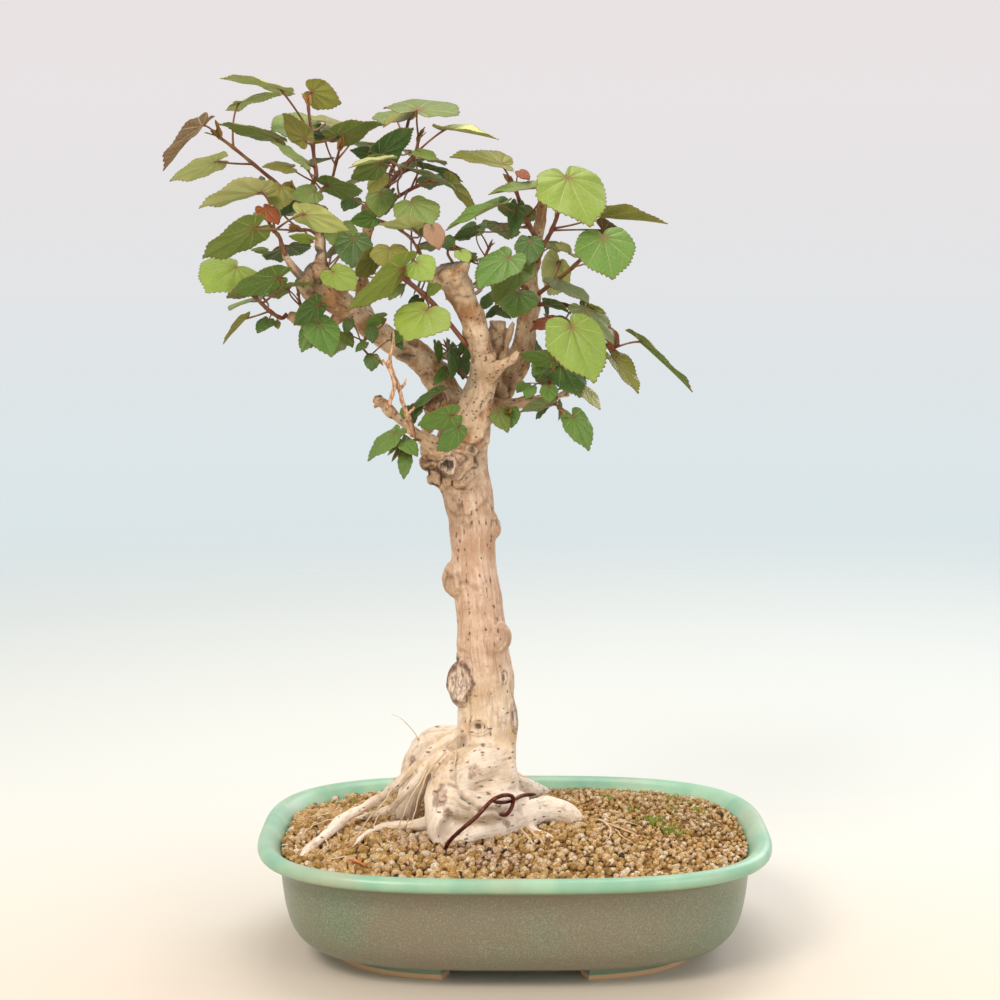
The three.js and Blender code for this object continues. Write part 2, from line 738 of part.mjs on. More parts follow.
// Leafy shoots. Each has a stem, and leaves given as the place of the stalk along the stem, the
// blade's foot, its tip, its roll about the rib in degrees and its width as a part of its length.
// A width under 0.8 marks a blade folded up along its rib.
const shoots = {
  shoot_far_left: {
    thick: [1.3, 0.9],
    stem: [
      [-119, -8, 424],
      [-127, -12, 429],
      [-133, -14, 434],
      [-146, -18, 445],
      [-158, -20, 455],
      [-166, -22, 461],
    ],
    leaves: [
      [4, [-156, -4, 481], [-134, 10, 486], 36, 1.05],
      [4.9, [-175, -24, 467], [-196, -30, 442], -20, 0.78],
      [3.1, [-166, -34, 447], [-191, -40, 436], -50, 0.95],
      [2.3, [-143, -17, 433], [-140, -25, 438], -85, 1],
      [1.2, [-124, 28, 424], [-124, 52, 416], 0, 1.05],
    ],
  },
  shoot_top_left: {
    thick: [1.4, 0.8],
    stem: [
      [-118, -6, 422],
      [-116, -4, 433],
      [-113, -6, 440],
      [-114, -6, 449],
      [-115, -8, 462],
      [-116, -8, 470],
      [-117, -8, 480],
    ],
    leaves: [
      [4.1, [-131, -24, 487], [-164, -25, 493], -32, 0.85],
      [5.7, [-115, -4, 487], [-98, -8, 480], 90, 0.95],
      [3.7, [-118, -18, 460], [-130, -20, 474], -75, 1],
      [2.5, [-134, -32, 460], [-164, -36, 467], -40, 0.8],
      [2, [-117, -40, 447], [-134, -46, 457], -5, 0.85],
      [1.5, [-126, -26, 444], [-141, -30, 444], 0, 0.9],
      [3.7, [-101, -14, 462], [-73, -14, 468], 40, 0.75],
      [4.4, [-109, 22, 471], [-98, 44, 471], -10, 1],
      [3.6, [-125, 24, 468], [-136, 46, 478], 0, 1.05],
    ],
  },
  shoot_inner_left: {
    thick: [1.1, 0.7],
    stem: [[-117, -5, 422], [-111, 8, 432], [-106, 8, 436], [-102, 4, 449], [-100, 2, 456]],
    leaves: [
      [3.9, [-97, 6, 462], [-79, 16, 469], 60, 0.85],
      [2, [-105, -20, 434], [-85, -30, 431], 55, 1],
      [1, [-118, 10, 446], [-104, 22, 451], 15, 0.6],
      [2.8, [-111, 30, 463], [-116, 48, 472], 0, 1],
      [3, [-95, 28, 461], [-90, 56, 458], 0, 1],
    ],
  },
  shoot_mid_left: {
    thick: [1.4, 1],
    stem: [[-128, -33, 395], [-130, -34, 400], [-131, -36, 405], [-134, -38, 409]],
    leaves: [
      [2.9, [-141, -42, 430], [-174, -48, 421], -52, 0.72],
      [2.4, [-138, -45, 421], [-130, -49, 412], 10, 1.15],
      [2.9, [-116, -47, 418], [-91, -51, 409], 65, 0.85],
      [1.2, [-128, -20, 400], [-135, 4, 391], 0, 1],
    ],
  },
  shoot_pale_side: {
    thick: [1, 0.8],
    stem: [[-111, -12, 405], [-116, -16, 409], [-122, -22, 409]],
    leaves: [
      [2, [-142, -60, 410], [-170, -66, 394], -65, 0.85],
      [1.5, [-114, -40, 404], [-125, -46, 406], -50, 0.85],
      [1.6, [-132, -8, 419], [-143, 18, 423], 0, 1],
    ],
  },
  shoot_pale_top: {
    thick: [1, 0.7],
    stem: [[-118, -11, 421], [-122, -20, 428], [-124, -24, 431]],
    leaves: [
      [1.9, [-131, -26, 433], [-131, -34, 420], 0, 1.15],
      [1, [-112, -30, 430], [-124, -38, 426], 20, 1],
    ],
  },
  shoot_lower_left: {
    thick: [1.3, 0.9],
    stem: [[-129, -22, 362], [-132, -24, 360], [-138, -28, 364], [-144, -30, 370], [-149, -30, 374]],
    leaves: [
      [4, [-156, -34, 388], [-170, -52, 375], 12, 1.3],
      [3.2, [-147, -14, 380], [-163, -22, 371], 180, 1],
      [2.7, [-131, -48, 383], [-155, -62, 376], -60, 0.9],
      [2, [-151, -36, 360], [-163, -40, 346], -50, 0.7],
      [1.8, [-139, -32, 359], [-144, -38, 352], 0, 0.95],
      [2.3, [-146, 6, 371], [-162, 34, 366], 0, 1.05],
    ],
  },
  shoot_under_left: {
    thick: [1.1, 0.7],
    stem: [[-110, -15, 353], [-115, -23, 354], [-119, -25, 360], [-121, -25, 367], [-122, -26, 374]],
    leaves: [
      [3.2, [-129, -23, 376], [-139, -31, 373], -60, 0.95],
      [3, [-125, -36, 378], [-111, -38, 379], 40, 0.6],
      [2, [-110, -40, 368], [-123, -46, 357], -85, 0.95],
      [0.8, [-110, -34, 357], [-102, -42, 339], 0, 0.95],
      [1, [-113, -27, 355], [-120, -32, 341], 0, 0.9],
      [0.6, [-109, 2, 350], [-106, 22, 337], 0, 0.95],
    ],
  },
  shoot_branch_under: {
    thick: [0.8, 0.6],
    stem: [[-84, -11, 350], [-87, -18, 344], [-85, -20, 341], [-82, -22, 338]],
    leaves: [
      [3, [-81, -24, 338], [-81, -28, 330], 0, 1],
      [0.3, [-81, -28, 354], [-80, -32, 346], 0, 0.85],
      [0.3, [-75, -24, 360], [-85, -28, 357], -70, 0.9],
    ],
  },
  shoot_pale_mid: {
    thick: [0.9, 0.7],
    stem: [[-108, -14, 389], [-105, -20, 387], [-103, -26, 385]],
    leaves: [
      [1.6, [-101, -41, 386], [-88, -51, 376], -10, 1],
      [0.7, [-99, -14, 411], [-97, -24, 397], 0, 1.05],
      [1.2, [-91, -22, 404], [-91, -32, 388], 0, 1.1],
    ],
  },
  shoot_centre_left: {
    thick: [1.5, 1.1],
    stem: [[-27, -22, 344], [-37, -26, 357], [-44, -30, 366], [-53, -34, 375], [-63, -38, 383]],
    leaves: [
      [4, [-63, -46, 388], [-92, -62, 366], -65, 0.82],
      [2.8, [-49, -52, 365], [-60, -66, 349], 0, 1.35],
      [3.4, [-70, -33, 399], [-70, -44, 387], 0, 1.3],
      [3.7, [-79, -26, 394], [-90, -34, 384], -90, 1],
      [2.5, [-55, -20, 370], [-61, -22, 360], 0, 0.85],
      [1.8, [-46, -16, 363], [-44, -12, 351], 0, 0.6],
    ],
  },
  shoot_middle_front: {
    thick: [1.5, 0.9],
    stem: [[-83, 29, 421], [-76, 20, 432], [-67, 12, 442], [-58, 6, 451], [-55, 4, 461]],
    leaves: [
      [4, [-55, -8, 477], [-47, 26, 484], 0, 1.15],
      [3.1, [-39, -6, 466], [-9, -10, 460], 20, 0.6],
      [1.8, [-76, -17, 451], [-57, -19, 466], 70, 0.85],
      [2.2, [-54, -14, 453], [-44, -20, 448], 0, 0.9],
      [2.9, [-51, 18, 451], [-41, 34, 447], 10, 0.9],
      [1.6, [-76, -20, 446], [-92, -26, 438], -75, 0.95],
      [1.3, [-71, -38, 448], [-92, -42, 443], -20, 0.6],
    ],
  },
  shoot_middle_back: {
    thick: [1.4, 0.9],
    stem: [
      [-84, 31, 421],
      [-77, 32, 433],
      [-72, 30, 444],
      [-66, 26, 457],
      [-63, 24, 467],
      [-61, 24, 475],
    ],
    leaves: [
      [4.9, [-61, 22, 478], [-76, 14, 468], -15, 0.9],
      [2.3, [-81, 16, 452], [-95, 12, 455], -60, 0.85],
      [2.7, [-61, 50, 456], [-51, 74, 451], 0, 1],
      [3.6, [-70, 46, 475], [-78, 68, 480], 0, 1],
      [1.2, [-88, 40, 441], [-99, 62, 436], 0, 1.05],
      [0.2, [-94, 22, 427], [-99, 14, 420], 0, 1],
    ],
  },
  shoot_middle_right: {
    thick: [1.2, 0.8],
    stem: [[-82, 30, 418], [-72, 26, 426], [-62, 21, 432], [-53, 17, 436]],
    leaves: [
      [1.5, [-60, -6, 443], [-30, -16, 430], 30, 0.55],
      [2, [-58, -22, 424], [-46, -34, 412], 0, 1.3],
      [3, [-37, 2, 435], [-22, -6, 415], 70, 0.7],
      [2.2, [-52, 16, 445], [-30, 20, 437], 35, 0.6],
      [2.7, [-48, 24, 440], [-50, 40, 433], 0, 1],
      [0.9, [-77, -2, 430], [-77, -12, 416], 0, 0.9],
      [2.5, [-59, 30, 450], [-65, 44, 443], 0, 1],
    ],
  },
  shoot_middle_low: {
    thick: [1.1, 0.7],
    stem: [[-83, 27, 416], [-71, 14, 412], [-64, 2, 408], [-59, -6, 404], [-55, -10, 398]],
    leaves: [
      [2.6, [-57, -36, 410], [-76, -46, 412], -45, 0.78],
      [3.9, [-46, -40, 410], [-42, -44, 398], 0, 0.9],
      [3, [-54, -52, 391], [-45, -60, 382], -30, 1.1],
      [1.8, [-55, -10, 414], [-50, -14, 404], 0, 0.9],
    ],
  },
  shoot_right_top_left: {
    thick: [1.5, 0.9],
    stem: [[12, 12, 405], [8, 6, 412], [4, 0, 421], [1, -4, 430], [-2, -6, 436]],
    leaves: [
      [3.3, [-8, -8, 446], [-37, -12, 450], 2, 0.7],
      [3.1, [3, -10, 442], [8, -14, 437], 0, 1],
      [1.4, [12, -17, 433], [-15, -23, 429], -10, 0.6],
      [1.1, [-10, -20, 423], [-39, -27, 409], -20, 0.6],
      [1, [-23, -8, 409], [-35, -12, 405], -60, 0.9],
      [0.8, [-9, 26, 413], [-4, 46, 404], 0, 1],
      [1.4, [2, 22, 423], [6, 44, 413], 0, 1],
    ],
  },
  shoot_right_top: {
    thick: [1.4, 0.9],
    stem: [[13, 14, 391], [17, 8, 401], [21, 2, 409], [25, -2, 420], [26, -4, 426]],
    leaves: [
      [3.6, [29, -24, 438], [42, -38, 411], 8, 1.3],
      [2.1, [46, -2, 417], [87, -4, 413], 40, 0.6],
      [2, [50, -10, 409], [64, -18, 399], 75, 1.2],
      [2.6, [26, 24, 429], [35, 48, 434], 0, 1.05],
      [1.5, [18, 28, 403], [25, 52, 396], 0, 1],
    ],
  },
  shoot_right_mid: {
    thick: [1.4, 1],
    stem: [[12, 17, 371], [22, 10, 379], [31, 2, 386], [40, -8, 395], [44, -10, 398]],
    leaves: [
      [3.7, [49, -31, 405], [54, -43, 382], 0, 1.25],
      [1, [25, 26, 390], [20, 38, 371], 58, 1.1],
      [1.2, [25, 1, 380], [42, -12, 368], 20, 0.95],
      [2.3, [45, 22, 393], [60, 50, 390], 0, 1.05],
    ],
  },
  shoot_right_low: {
    thick: [1.4, 0.9],
    stem: [[13, 18, 366], [24, 10, 367], [34, 2, 364], [45, -4, 352], [56, -8, 340]],
    leaves: [
      [2, [31, -34, 355], [44, -48, 325], 5, 1],
      [2.5, [39, -12, 364], [56, -22, 345], 10, 0.85],
      [3.9, [71, -14, 346], [101, -20, 318], 40, 0.55],
      [4, [56, -14, 336], [70, -22, 317], 20, 0.78],
      [1.1, [19, -6, 367], [32, -14, 362], 55, 0.7],
      [2.6, [42, 22, 352], [47, 44, 342], 0, 1],
      [2.5, [40, 32, 347], [46, 52, 333], 0, 1.05],
      [4, [57, -10, 344], [53, -14, 355], 20, 0.9],
    ],
  },
  shoot_low_right: {
    thick: [1.3, 0.8],
    stem: [[19, -8, 315], [20, -12, 322], [23, -16, 335], [26, -16, 341]],
    leaves: [
      [2.2, [21, -34, 337], [2, -42, 341], -55, 0.85],
      [2.2, [26, -10, 334], [37, -24, 315], 0, 0.9],
      [1, [19, -30, 321], [19, -36, 313], 0, 1],
      [0.4, [39, -6, 319], [49, -12, 307], 20, 0.85],
      [2.3, [20, 14, 331], [20, 28, 315], 0, 0.9],
    ],
  },
  shoot_low_right_tip: {
    thick: [0.8, 0.6],
    stem: [[24, -13, 315], [23, -20, 312], [24, -22, 310]],
    leaves: [
      [1.8, [33, -22, 304], [42, -28, 285], 10, 0.85],
      [0.8, [19, -24, 311], [2, -30, 307], -65, 0.7],
      [1.6, [25, -14, 311], [25, -14, 301], 65, 0.5],
    ],
  },
  shoot_under_right: {
    thick: [0.8, 0.6],
    stem: [[-2, -1, 307], [-3, -8, 304], [-4, -14, 306]],
    leaves: [
      [1.8, [-10, -18, 306], [-4, -24, 295], 0, 0.85],
      [1.4, [-2, -14, 307], [-2, -18, 297], 0, 0.9],
    ],
  },
  shoot_right_inner: {
    thick: [1.2, 0.8],
    stem: [[8, 17, 375], [3, 6, 378], [-2, -6, 384], [-4, -14, 391]],
    leaves: [
      [3, [-4, -40, 394], [-21, -52, 377], 0, 0.95],
      [2.3, [2, -26, 388], [-11, -40, 368], -20, 0.95],
      [1.2, [2, -14, 373], [-1, -24, 360], 0, 1.35],
      [2.8, [8, -27, 403], [7, -36, 389], 0, 0.95],
      [0.7, [-6, 30, 377], [-12, 46, 367], 0, 1],
    ],
  },
  shoot_orange: {
    thick: [0.9, 0.7],
    stem: [[11, 18, 356], [16, 4, 357], [19, -4, 358]],
    leaves: [
      [1.9, [21, -18, 359], [9, -22, 353], 0, 0.85],
    ],
  },
  shoot_knob: {
    thick: [0.9, 0.6],
    stem: [[-35, -28, 391], [-38, -24, 396], [-37, -20, 400]],
    leaves: [
      [2, [-30, -43, 397], [-26, -49, 391], 0, 1],
      [1.8, [-34, -14, 398], [-21, -10, 391], 30, 0.75],
      [1.9, [-43, 2, 404], [-49, 22, 397], 0, 1],
    ],
  },
  shoot_behind_centre: {
    thick: [1.2, 0.8],
    stem: [[-28, -21, 371], [-20, 4, 375], [-18, 16, 383], [-17, 20, 394], [-15, 20, 399]],
    leaves: [
      [3, [-22, 10, 408], [-16, 12, 414], 0, 0.9],
      [2.7, [-25, 34, 391], [-35, 54, 387], 0, 1],
      [2.2, [-9, 48, 379], [-3, 68, 368], 0, 1],
      [1.4, [-29, 24, 376], [-38, 40, 368], 0, 1],
    ],
  },
  shoot_crotch: {
    thick: [0.9, 0.6],
    stem: [[-25, -13, 324], [-31, -5, 328], [-36, -1, 335], [-39, 0, 342]],
    leaves: [
      [2.9, [-37, -10, 342], [-37, -16, 323], 65, 0.65],
      [2.5, [-45, -4, 344], [-44, -8, 333], 40, 0.6],
      [1.6, [-31, 10, 335], [-30, 6, 323], 20, 0.85],
      [2, [-40, -6, 329], [-47, -14, 321], 30, 0.5],
      [1.8, [-44, 24, 336], [-54, 44, 327], 0, 1],
    ],
  },
  shoot_burl: {
    thick: [0.9, 0.6],
    stem: [[-37, -9, 298], [-39, -30, 304], [-40, -36, 309]],
    leaves: [
      [1.9, [-36, -54, 308], [-54, -62, 303], -70, 1],
      [1.2, [-32, -35, 299], [-44, -45, 287], -90, 1.05],
      [0.8, [-42, -20, 318], [-58, -30, 308], -25, 0.7],
    ],
  },
  shoot_low_left: {
    thick: [0.8, 0.6],
    stem: [[-52, -21, 290], [-57, -36, 292], [-60, -44, 289]],
    leaves: [
      [1.2, [-67, -48, 297], [-82, -54, 282], -15, 0.85],
      [1.9, [-62, -52, 293], [-54, -58, 285], 0, 0.85],
      [1.9, [-61, -50, 284], [-62, -56, 272], 0, 0.6],
    ],
  },
};

const group = new THREE.Group();
const bark = makeTree(barkGap);
group.add(meshOf("pot", makePot(), 0x6f9a83, 0.35));
group.add(meshOf("soil", makeSoil(bark), 0x9a7b4c, 0.95));
group.add(meshOf("drain_mesh_left", makeScreen(-drainHoleAcross), 0x2b2f2c, 0.6));
group.add(meshOf("drain_mesh_right", makeScreen(drainHoleAcross), 0x2b2f2c, 0.6));
group.add(meshOf("trunk", makeTree(), 0xcfae88, 0.85));
group.add(meshOf("wire", makeWire(), 0x6a3326, 0.35, 0.7));
for (const [name, shoot] of Object.entries(shoots)) {
  group.add(meshOf(name, makeShoot(shoot, bark), 0x5f8a35, 0.55));
}

const box = new THREE.Box3().setFromObject(group, true);
const middle = box.getCenter(vec(0, 0, 0));
group.position.set(-middle.x, -middle.y, -box.min.z);
group.updateMatrixWorld(true);

export default group;
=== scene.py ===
import math

import bmesh
import bpy
import numpy as np
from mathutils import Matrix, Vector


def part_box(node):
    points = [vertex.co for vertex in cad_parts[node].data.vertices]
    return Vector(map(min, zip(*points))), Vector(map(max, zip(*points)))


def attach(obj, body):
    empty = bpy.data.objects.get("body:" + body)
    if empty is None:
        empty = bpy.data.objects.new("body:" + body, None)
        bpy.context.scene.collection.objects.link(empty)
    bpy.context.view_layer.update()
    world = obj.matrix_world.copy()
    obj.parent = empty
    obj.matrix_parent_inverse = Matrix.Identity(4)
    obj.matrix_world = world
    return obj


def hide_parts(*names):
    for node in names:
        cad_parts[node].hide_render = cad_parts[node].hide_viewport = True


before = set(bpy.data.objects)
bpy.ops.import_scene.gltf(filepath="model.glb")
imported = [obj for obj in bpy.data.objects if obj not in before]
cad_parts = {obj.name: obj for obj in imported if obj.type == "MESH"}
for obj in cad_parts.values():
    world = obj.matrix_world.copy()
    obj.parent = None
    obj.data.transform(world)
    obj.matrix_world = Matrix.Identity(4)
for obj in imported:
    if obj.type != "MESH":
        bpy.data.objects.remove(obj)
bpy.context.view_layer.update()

# Studio view and light
# The tree stands alone on a pale studio floor that fades into a pale, even background. It is seen
# from 1.2 m away, 7 degrees above level, under a broad soft light at the upper left of the front.
MM = 0.001
RIM_TOP = 60
pot_low, pot_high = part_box("pot")
# Sizes in this file are in millimetres from the middle of the pot, with the rim's top at 60.
layout_origin = ((pot_low.x + pot_high.x) / 2, (pot_low.y + pot_high.y) / 2, pot_high.z - RIM_TOP * MM)

VIEW_DISTANCE = 1200
VIEW_PITCH = 0.127
VIEW_AIM = (-8.6, 0, 253.4)
VIEW_LENS = 74.2
POT_BOTTOM = -12
FLOOR_REACH = 2300
FLOOR_CLEAR = 380
BLUE_BELOW = -0.16
PINK_ABOVE = 0.1

camera_data = bpy.data.cameras.new("view")
camera_data.lens = VIEW_LENS
camera = bpy.data.objects.new("view", camera_data)
camera.location = (
    layout_origin[0] + VIEW_AIM[0] * MM,
    layout_origin[1] - VIEW_DISTANCE * MM * math.cos(VIEW_PITCH),
    layout_origin[2] + (VIEW_AIM[2] + VIEW_DISTANCE * math.sin(VIEW_PITCH)) * MM,
)
camera.rotation_euler = (math.pi / 2 - VIEW_PITCH, 0, 0)
bpy.context.scene.collection.objects.link(camera)
bpy.context.scene.camera = camera
bpy.context.scene.view_settings.view_transform = "Standard"


def shade(code):
    """A colour as a web code such as #b8924e, turned into the linear numbers of a shader."""
    parts = [int(code[i : i + 2], 16) / 255 for i in (1, 3, 5)]
    return tuple(c / 12.92 if c < 0.04045 else ((c + 0.055) / 1.055) ** 2.4 for c in parts)


class Finish:
    """A node material, with a short way to add each kind of node."""

    def __init__(self, name):
        self.material = bpy.data.materials.new(name)
        self.material.use_nodes = True
        self.nodes = self.material.node_tree.nodes
        self.links = self.material.node_tree.links
        self.shader = self.nodes["Principled BSDF"]

    def put(self, socket, value):
        if isinstance(value, bpy.types.NodeSocket):
            self.links.new(value, socket)
        elif isinstance(value, tuple) and len(value) == 3 and socket.type == "RGBA":
            socket.default_value = (*value, 1)
        else:
            socket.default_value = value

    def add(self, kind, values, **settings):
        made = self.nodes.new("ShaderNode" + kind)
        for name, value in settings.items():
            setattr(made, name, value)
        for socket, value in values.items():
            self.put(made.inputs[socket], value)
        return made

    def place(self):
        return self.add("TexCoord", {}).outputs["Object"]

    def stored(self, name, output="Fac"):
        return self.add("Attribute", {}, attribute_name=name).outputs[output]

    def parts_of(self, vector):
        return self.add("SeparateXYZ", {0: vector}).outputs

    def sum_of(self, operation, a, b=0.0):
        return self.add("Math", {0: a, 1: b}, operation=operation).outputs[0]

    def times(self, a, b):
        return self.sum_of("MULTIPLY", a, b)

    def plus(self, a, b):
        return self.sum_of("ADD", a, b)

    def less(self, a, b):
        return self.sum_of("SUBTRACT", a, b)

    def stretched(self, vector, scale):
        return self.add("VectorMath", {0: vector, 1: scale}, operation="MULTIPLY").outputs[0]

    def clouds(self, vector, size, detail=3.0, roughness=0.55):
        """Soft random patches about `size` metres across, from 0 to 1."""
        values = {"Vector": vector, "Scale": 1 / size, "Detail": detail, "Roughness": roughness}
        return self.add("TexNoise", values).outputs["Fac"]

    def cells(self, vector, size, feature="F1"):
        return self.add("TexVoronoi", {"Vector": vector, "Scale": 1 / size}, feature=feature).outputs

    def between(self, value, low, high):
        """0 at low and 1 at high, eased between."""
        values = {"Value": value, "From Min": low, "From Max": high}
        return self.add("MapRange", values, interpolation_type="SMOOTHSTEP").outputs["Result"]

    def blended(self, amount, first, second, how="MIX"):
        made = self.add("Mix", {0: amount, 6: first, 7: second}, data_type="RGBA", blend_type=how)
        return made.outputs[2]

    def tinted(self, colour, share, strength, code):
        """The colour, covered by another where the share is high."""
        return self.blended(self.times(share, strength), colour, shade(code))

    def relief(self, height, depth, normal=None):
        values = {"Height": height, "Distance": depth, "Strength": 1.0}
        if normal is not None:
            values["Normal"] = normal
        return self.add("Bump", values).outputs["Normal"]

    def surface(self, **values):
        for name, value in values.items():
            self.put(self.shader.inputs[name.replace("_", " ")], value)
        return self.material


def mesh_of(name, points, faces):
    """A mesh from points in millimetres round the middle of the pot, moved to the part's own frame."""
    mesh = bpy.data.meshes.new(name)
    placed = np.asarray(points, float) * MM + layout_origin
    mesh.from_pydata(placed.tolist(), [], faces)
    mesh.update()
    return mesh


def piece_of(mesh, finishes, slot=None, stands_for=()):
    """Sets a finished mesh in place as a piece of the tree."""
    piece = bpy.data.objects.new(mesh.name, mesh)
    mesh.materials.clear()
    for finish in finishes:
        mesh.materials.append(finish)
    bpy.context.scene.collection.objects.link(piece)
    if slot is not None:
        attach(piece, "root")
    if stands_for:
        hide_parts(*stands_for)
    return piece


def floor_disc(reach, rings=24, spokes=96):
    turns = np.arange(spokes) * 2 * math.pi / spokes
    points = [(0, 0, 0)]
    faces = [(0, i + 1, (i + 1) % spokes + 1) for i in range(spokes)]
    for ring in range(rings):
        out = reach * ((ring + 1) / rings) ** 2
        points += [(out * math.cos(t), out * math.sin(t), 0) for t in turns]
        for i in range(spokes if ring else 0):
            inner = (ring - 1) * spokes + 1
            j = (i + 1) % spokes
            faces.append((inner + i, inner + spokes + i, inner + spokes + j, inner + j))
    return mesh_of("floor", np.array(points) + (0, 0, POT_BOTTOM), faces)


floor_look = Finish("pale_floor")
floor_out = floor_look.add("VectorMath", {0: floor_look.place()}, operation="LENGTH").outputs["Value"]
floor_fade = floor_look.between(floor_out, FLOOR_CLEAR * MM, FLOOR_REACH * MM * 0.9)
floor_clear = floor_look.add("BsdfTransparent", {})
floor_mix = floor_look.add(
    "MixShader",
    {0: floor_fade, 1: floor_look.shader.outputs[0], 2: floor_clear.outputs[0]},
)
floor_look.links.new(floor_mix.outputs[0], floor_look.nodes["Material Output"].inputs["Surface"])
floor_back = floor_look.between(floor_look.parts_of(floor_look.place())[1], -0.3, 0.45)
floor_tint = floor_look.blended(floor_back, shade("#d7c8b4"), shade("#d0d3cb"))
floor_look.surface(Base_Color=floor_tint, Roughness=0.75)
floor = piece_of(floor_disc(FLOOR_REACH), [floor_look.material])

world = bpy.data.worlds.new("pale_room")
world.use_nodes = True
sky = world.node_tree.nodes
sky_place = sky.new("ShaderNodeTexCoord")
sky_parts = sky.new("ShaderNodeSeparateXYZ")
sky_ramp = sky.new("ShaderNodeMapRange")
sky_colour = sky.new("ShaderNodeMix")
sky_colour.data_type = "RGBA"
sky_ramp.interpolation_type = "SMOOTHSTEP"
sky_ramp.inputs["From Min"].default_value = BLUE_BELOW
sky_ramp.inputs["From Max"].default_value = PINK_ABOVE
sky_colour.inputs[6].default_value = (*shade("#dbe6e9"), 1)
sky_colour.inputs[7].default_value = (*shade("#e9e3e4"), 1)
world.node_tree.links.new(sky_place.outputs["Generated"], sky_parts.inputs[0])
world.node_tree.links.new(sky_parts.outputs[2], sky_ramp.inputs["Value"])
world.node_tree.links.new(sky_ramp.outputs["Result"], sky_colour.inputs[0])
world.node_tree.links.new(sky_colour.outputs[2], sky["Background"].inputs["Color"])
sky["Background"].inputs["Strength"].default_value = 1.0
bpy.context.scene.world = world

# Name, place in metres, width, power in watts and colour of each soft light, all aimed at the tree.
for name, spot, width, power, colour in (
    ("key", (-0.9, -1.5, 1.7), 0.9, 30, "#fff6ea"),
    ("fill", (1.3, -1.3, 0.9), 1.1, 9, "#f2f6ff"),
    ("overhead", (0.1, 0.3, 1.9), 1.2, 14, "#ffffff"),
    ("rim", (0.9, 1.4, 1.1), 1.0, 8, "#f4f7ff"),
):
    lamp_data = bpy.data.lights.new(name, "AREA")
    lamp_data.shape = "DISK"
    lamp_data.size = width
    lamp_data.energy = power
    lamp_data.color = shade(colour)
    lamp = bpy.data.objects.new(name, lamp_data)
    lamp.location = spot
    toward = Vector((0, 0, 0.25)) - lamp.location
    lamp.rotation_euler = toward.to_track_quat("-Z", "Y").to_euler()
    bpy.context.scene.collection.objects.link(lamp)

# Glazed pot
# One stoneware body: a squared oval with a rolled lip, thick walls, four arcs of foot and two
# drain holes. It was dipped in a seafoam glaze that broke to speckled grey-brown on the outside.
POT_LENGTH_HALF = 150
POT_WIDTH_HALF = 112.5
RIM_SQUARENESS = 3.1
FOOT_SQUARENESS = 2.8
FOOT_SPREAD = 0.51
DRAIN_ACROSS = 62
DRAIN_RADIUS = 9

# Inset from the rim and height, up the inside of the wall and then up the outside.
INNER_WALL = [(41, 0), (36, 1.6), (30, 6), (24.5, 14.5), (20.4, 28), (18.4, 39), (15.6, 48), (12, 54)]
OUTER_WALL = [
    (48, -4.5), (41, -4.5), (39.4, -4.3), (38.4, -3.8), (37.4, -3.4), (36, -3), (32, -1.8),
    (26.5, 1), (21.6, 6), (17.8, 13), (15.3, 23), (13.9, 33), (13.1, 41), (11.6, 46), (8, 49.6),
    (3.4, 51.6), (0.8, 53.4), (0, 56), (1.2, 58.8), (4, 60), (7, 59.4), (9.4, 57.6),
]
# Half length, half width and height of the foot's section, from the inside of the sole round.
FOOT_SECTION = [(95, 59, -12), (105.4, 68.8, -12), (106, 69.4, -11.3), (107, 70.4, -3), (94, 58, -3)]


def smooth_route(points, steps):
    """The points joined by a smooth curve, with `steps` spans between each pair."""
    points = np.asarray(points, float)
    ends = np.vstack([2 * points[0] - points[1], points, 2 * points[-1] - points[-2]])
    route = []
    for i in range(1, len(points)):
        before, here, there, after = ends[i - 1 : i + 3]
        for k in range(steps):
            t = k / steps
            route.append(
                0.5 * (
                    2 * here
                    + (there - before) * t
                    + (2 * before - 5 * here + 4 * there - after) * t**2
                    + (3 * here - before - 3 * there + after) * t**3
                )
            )
    route.append(points[-1])
    return np.array(route)


def squared_ring(half_length, half_width, squareness, count):
    """Points evenly spaced round a squared oval."""
    turns = np.linspace(0, 2 * math.pi, 4001)
    c, s = np.cos(turns), np.sin(turns)
    x = half_length * np.sign(c) * np.abs(c) ** (2 / squareness)
    y = half_width * np.sign(s) * np.abs(s) ** (2 / squareness)
    gone = np.concatenate([[0], np.cumsum(np.hypot(np.diff(x), np.diff(y)))])
    even = np.linspace(0, gone[-1], count, endpoint=False)
    return np.column_stack([np.interp(even, gone, x), np.interp(even, gone, y)])


def skin_faces(rings, sides):
    """Faces over rings of points, one after the other, with the ends closed by flat faces."""
    faces = []
    for r in range(rings - 1):
        for i in range(sides):
            j = (i + 1) % sides
            faces.append((r * sides + i, r * sides + j, (r + 1) * sides + j, (r + 1) * sides + i))
    faces.append(tuple(range(sides - 1, -1, -1)))
    faces.append(tuple(range((rings - 1) * sides, rings * sides)))
    return faces


def pot_body():
    sides = 220
    outside = smooth_route(OUTER_WALL, 4)
    inside = smooth_route(INNER_WALL, 4)[::-1]
    points = []
    for inset, height in np.vstack([outside, inside]):
        ring = squared_ring(POT_LENGTH_HALF - inset, POT_WIDTH_HALF - inset, RIM_SQUARENESS, sides)
        points.append(np.column_stack([ring, np.full(sides, height)]))
    return mesh_of("glazed_pot", np.vstack(points), skin_faces(len(points), sides))


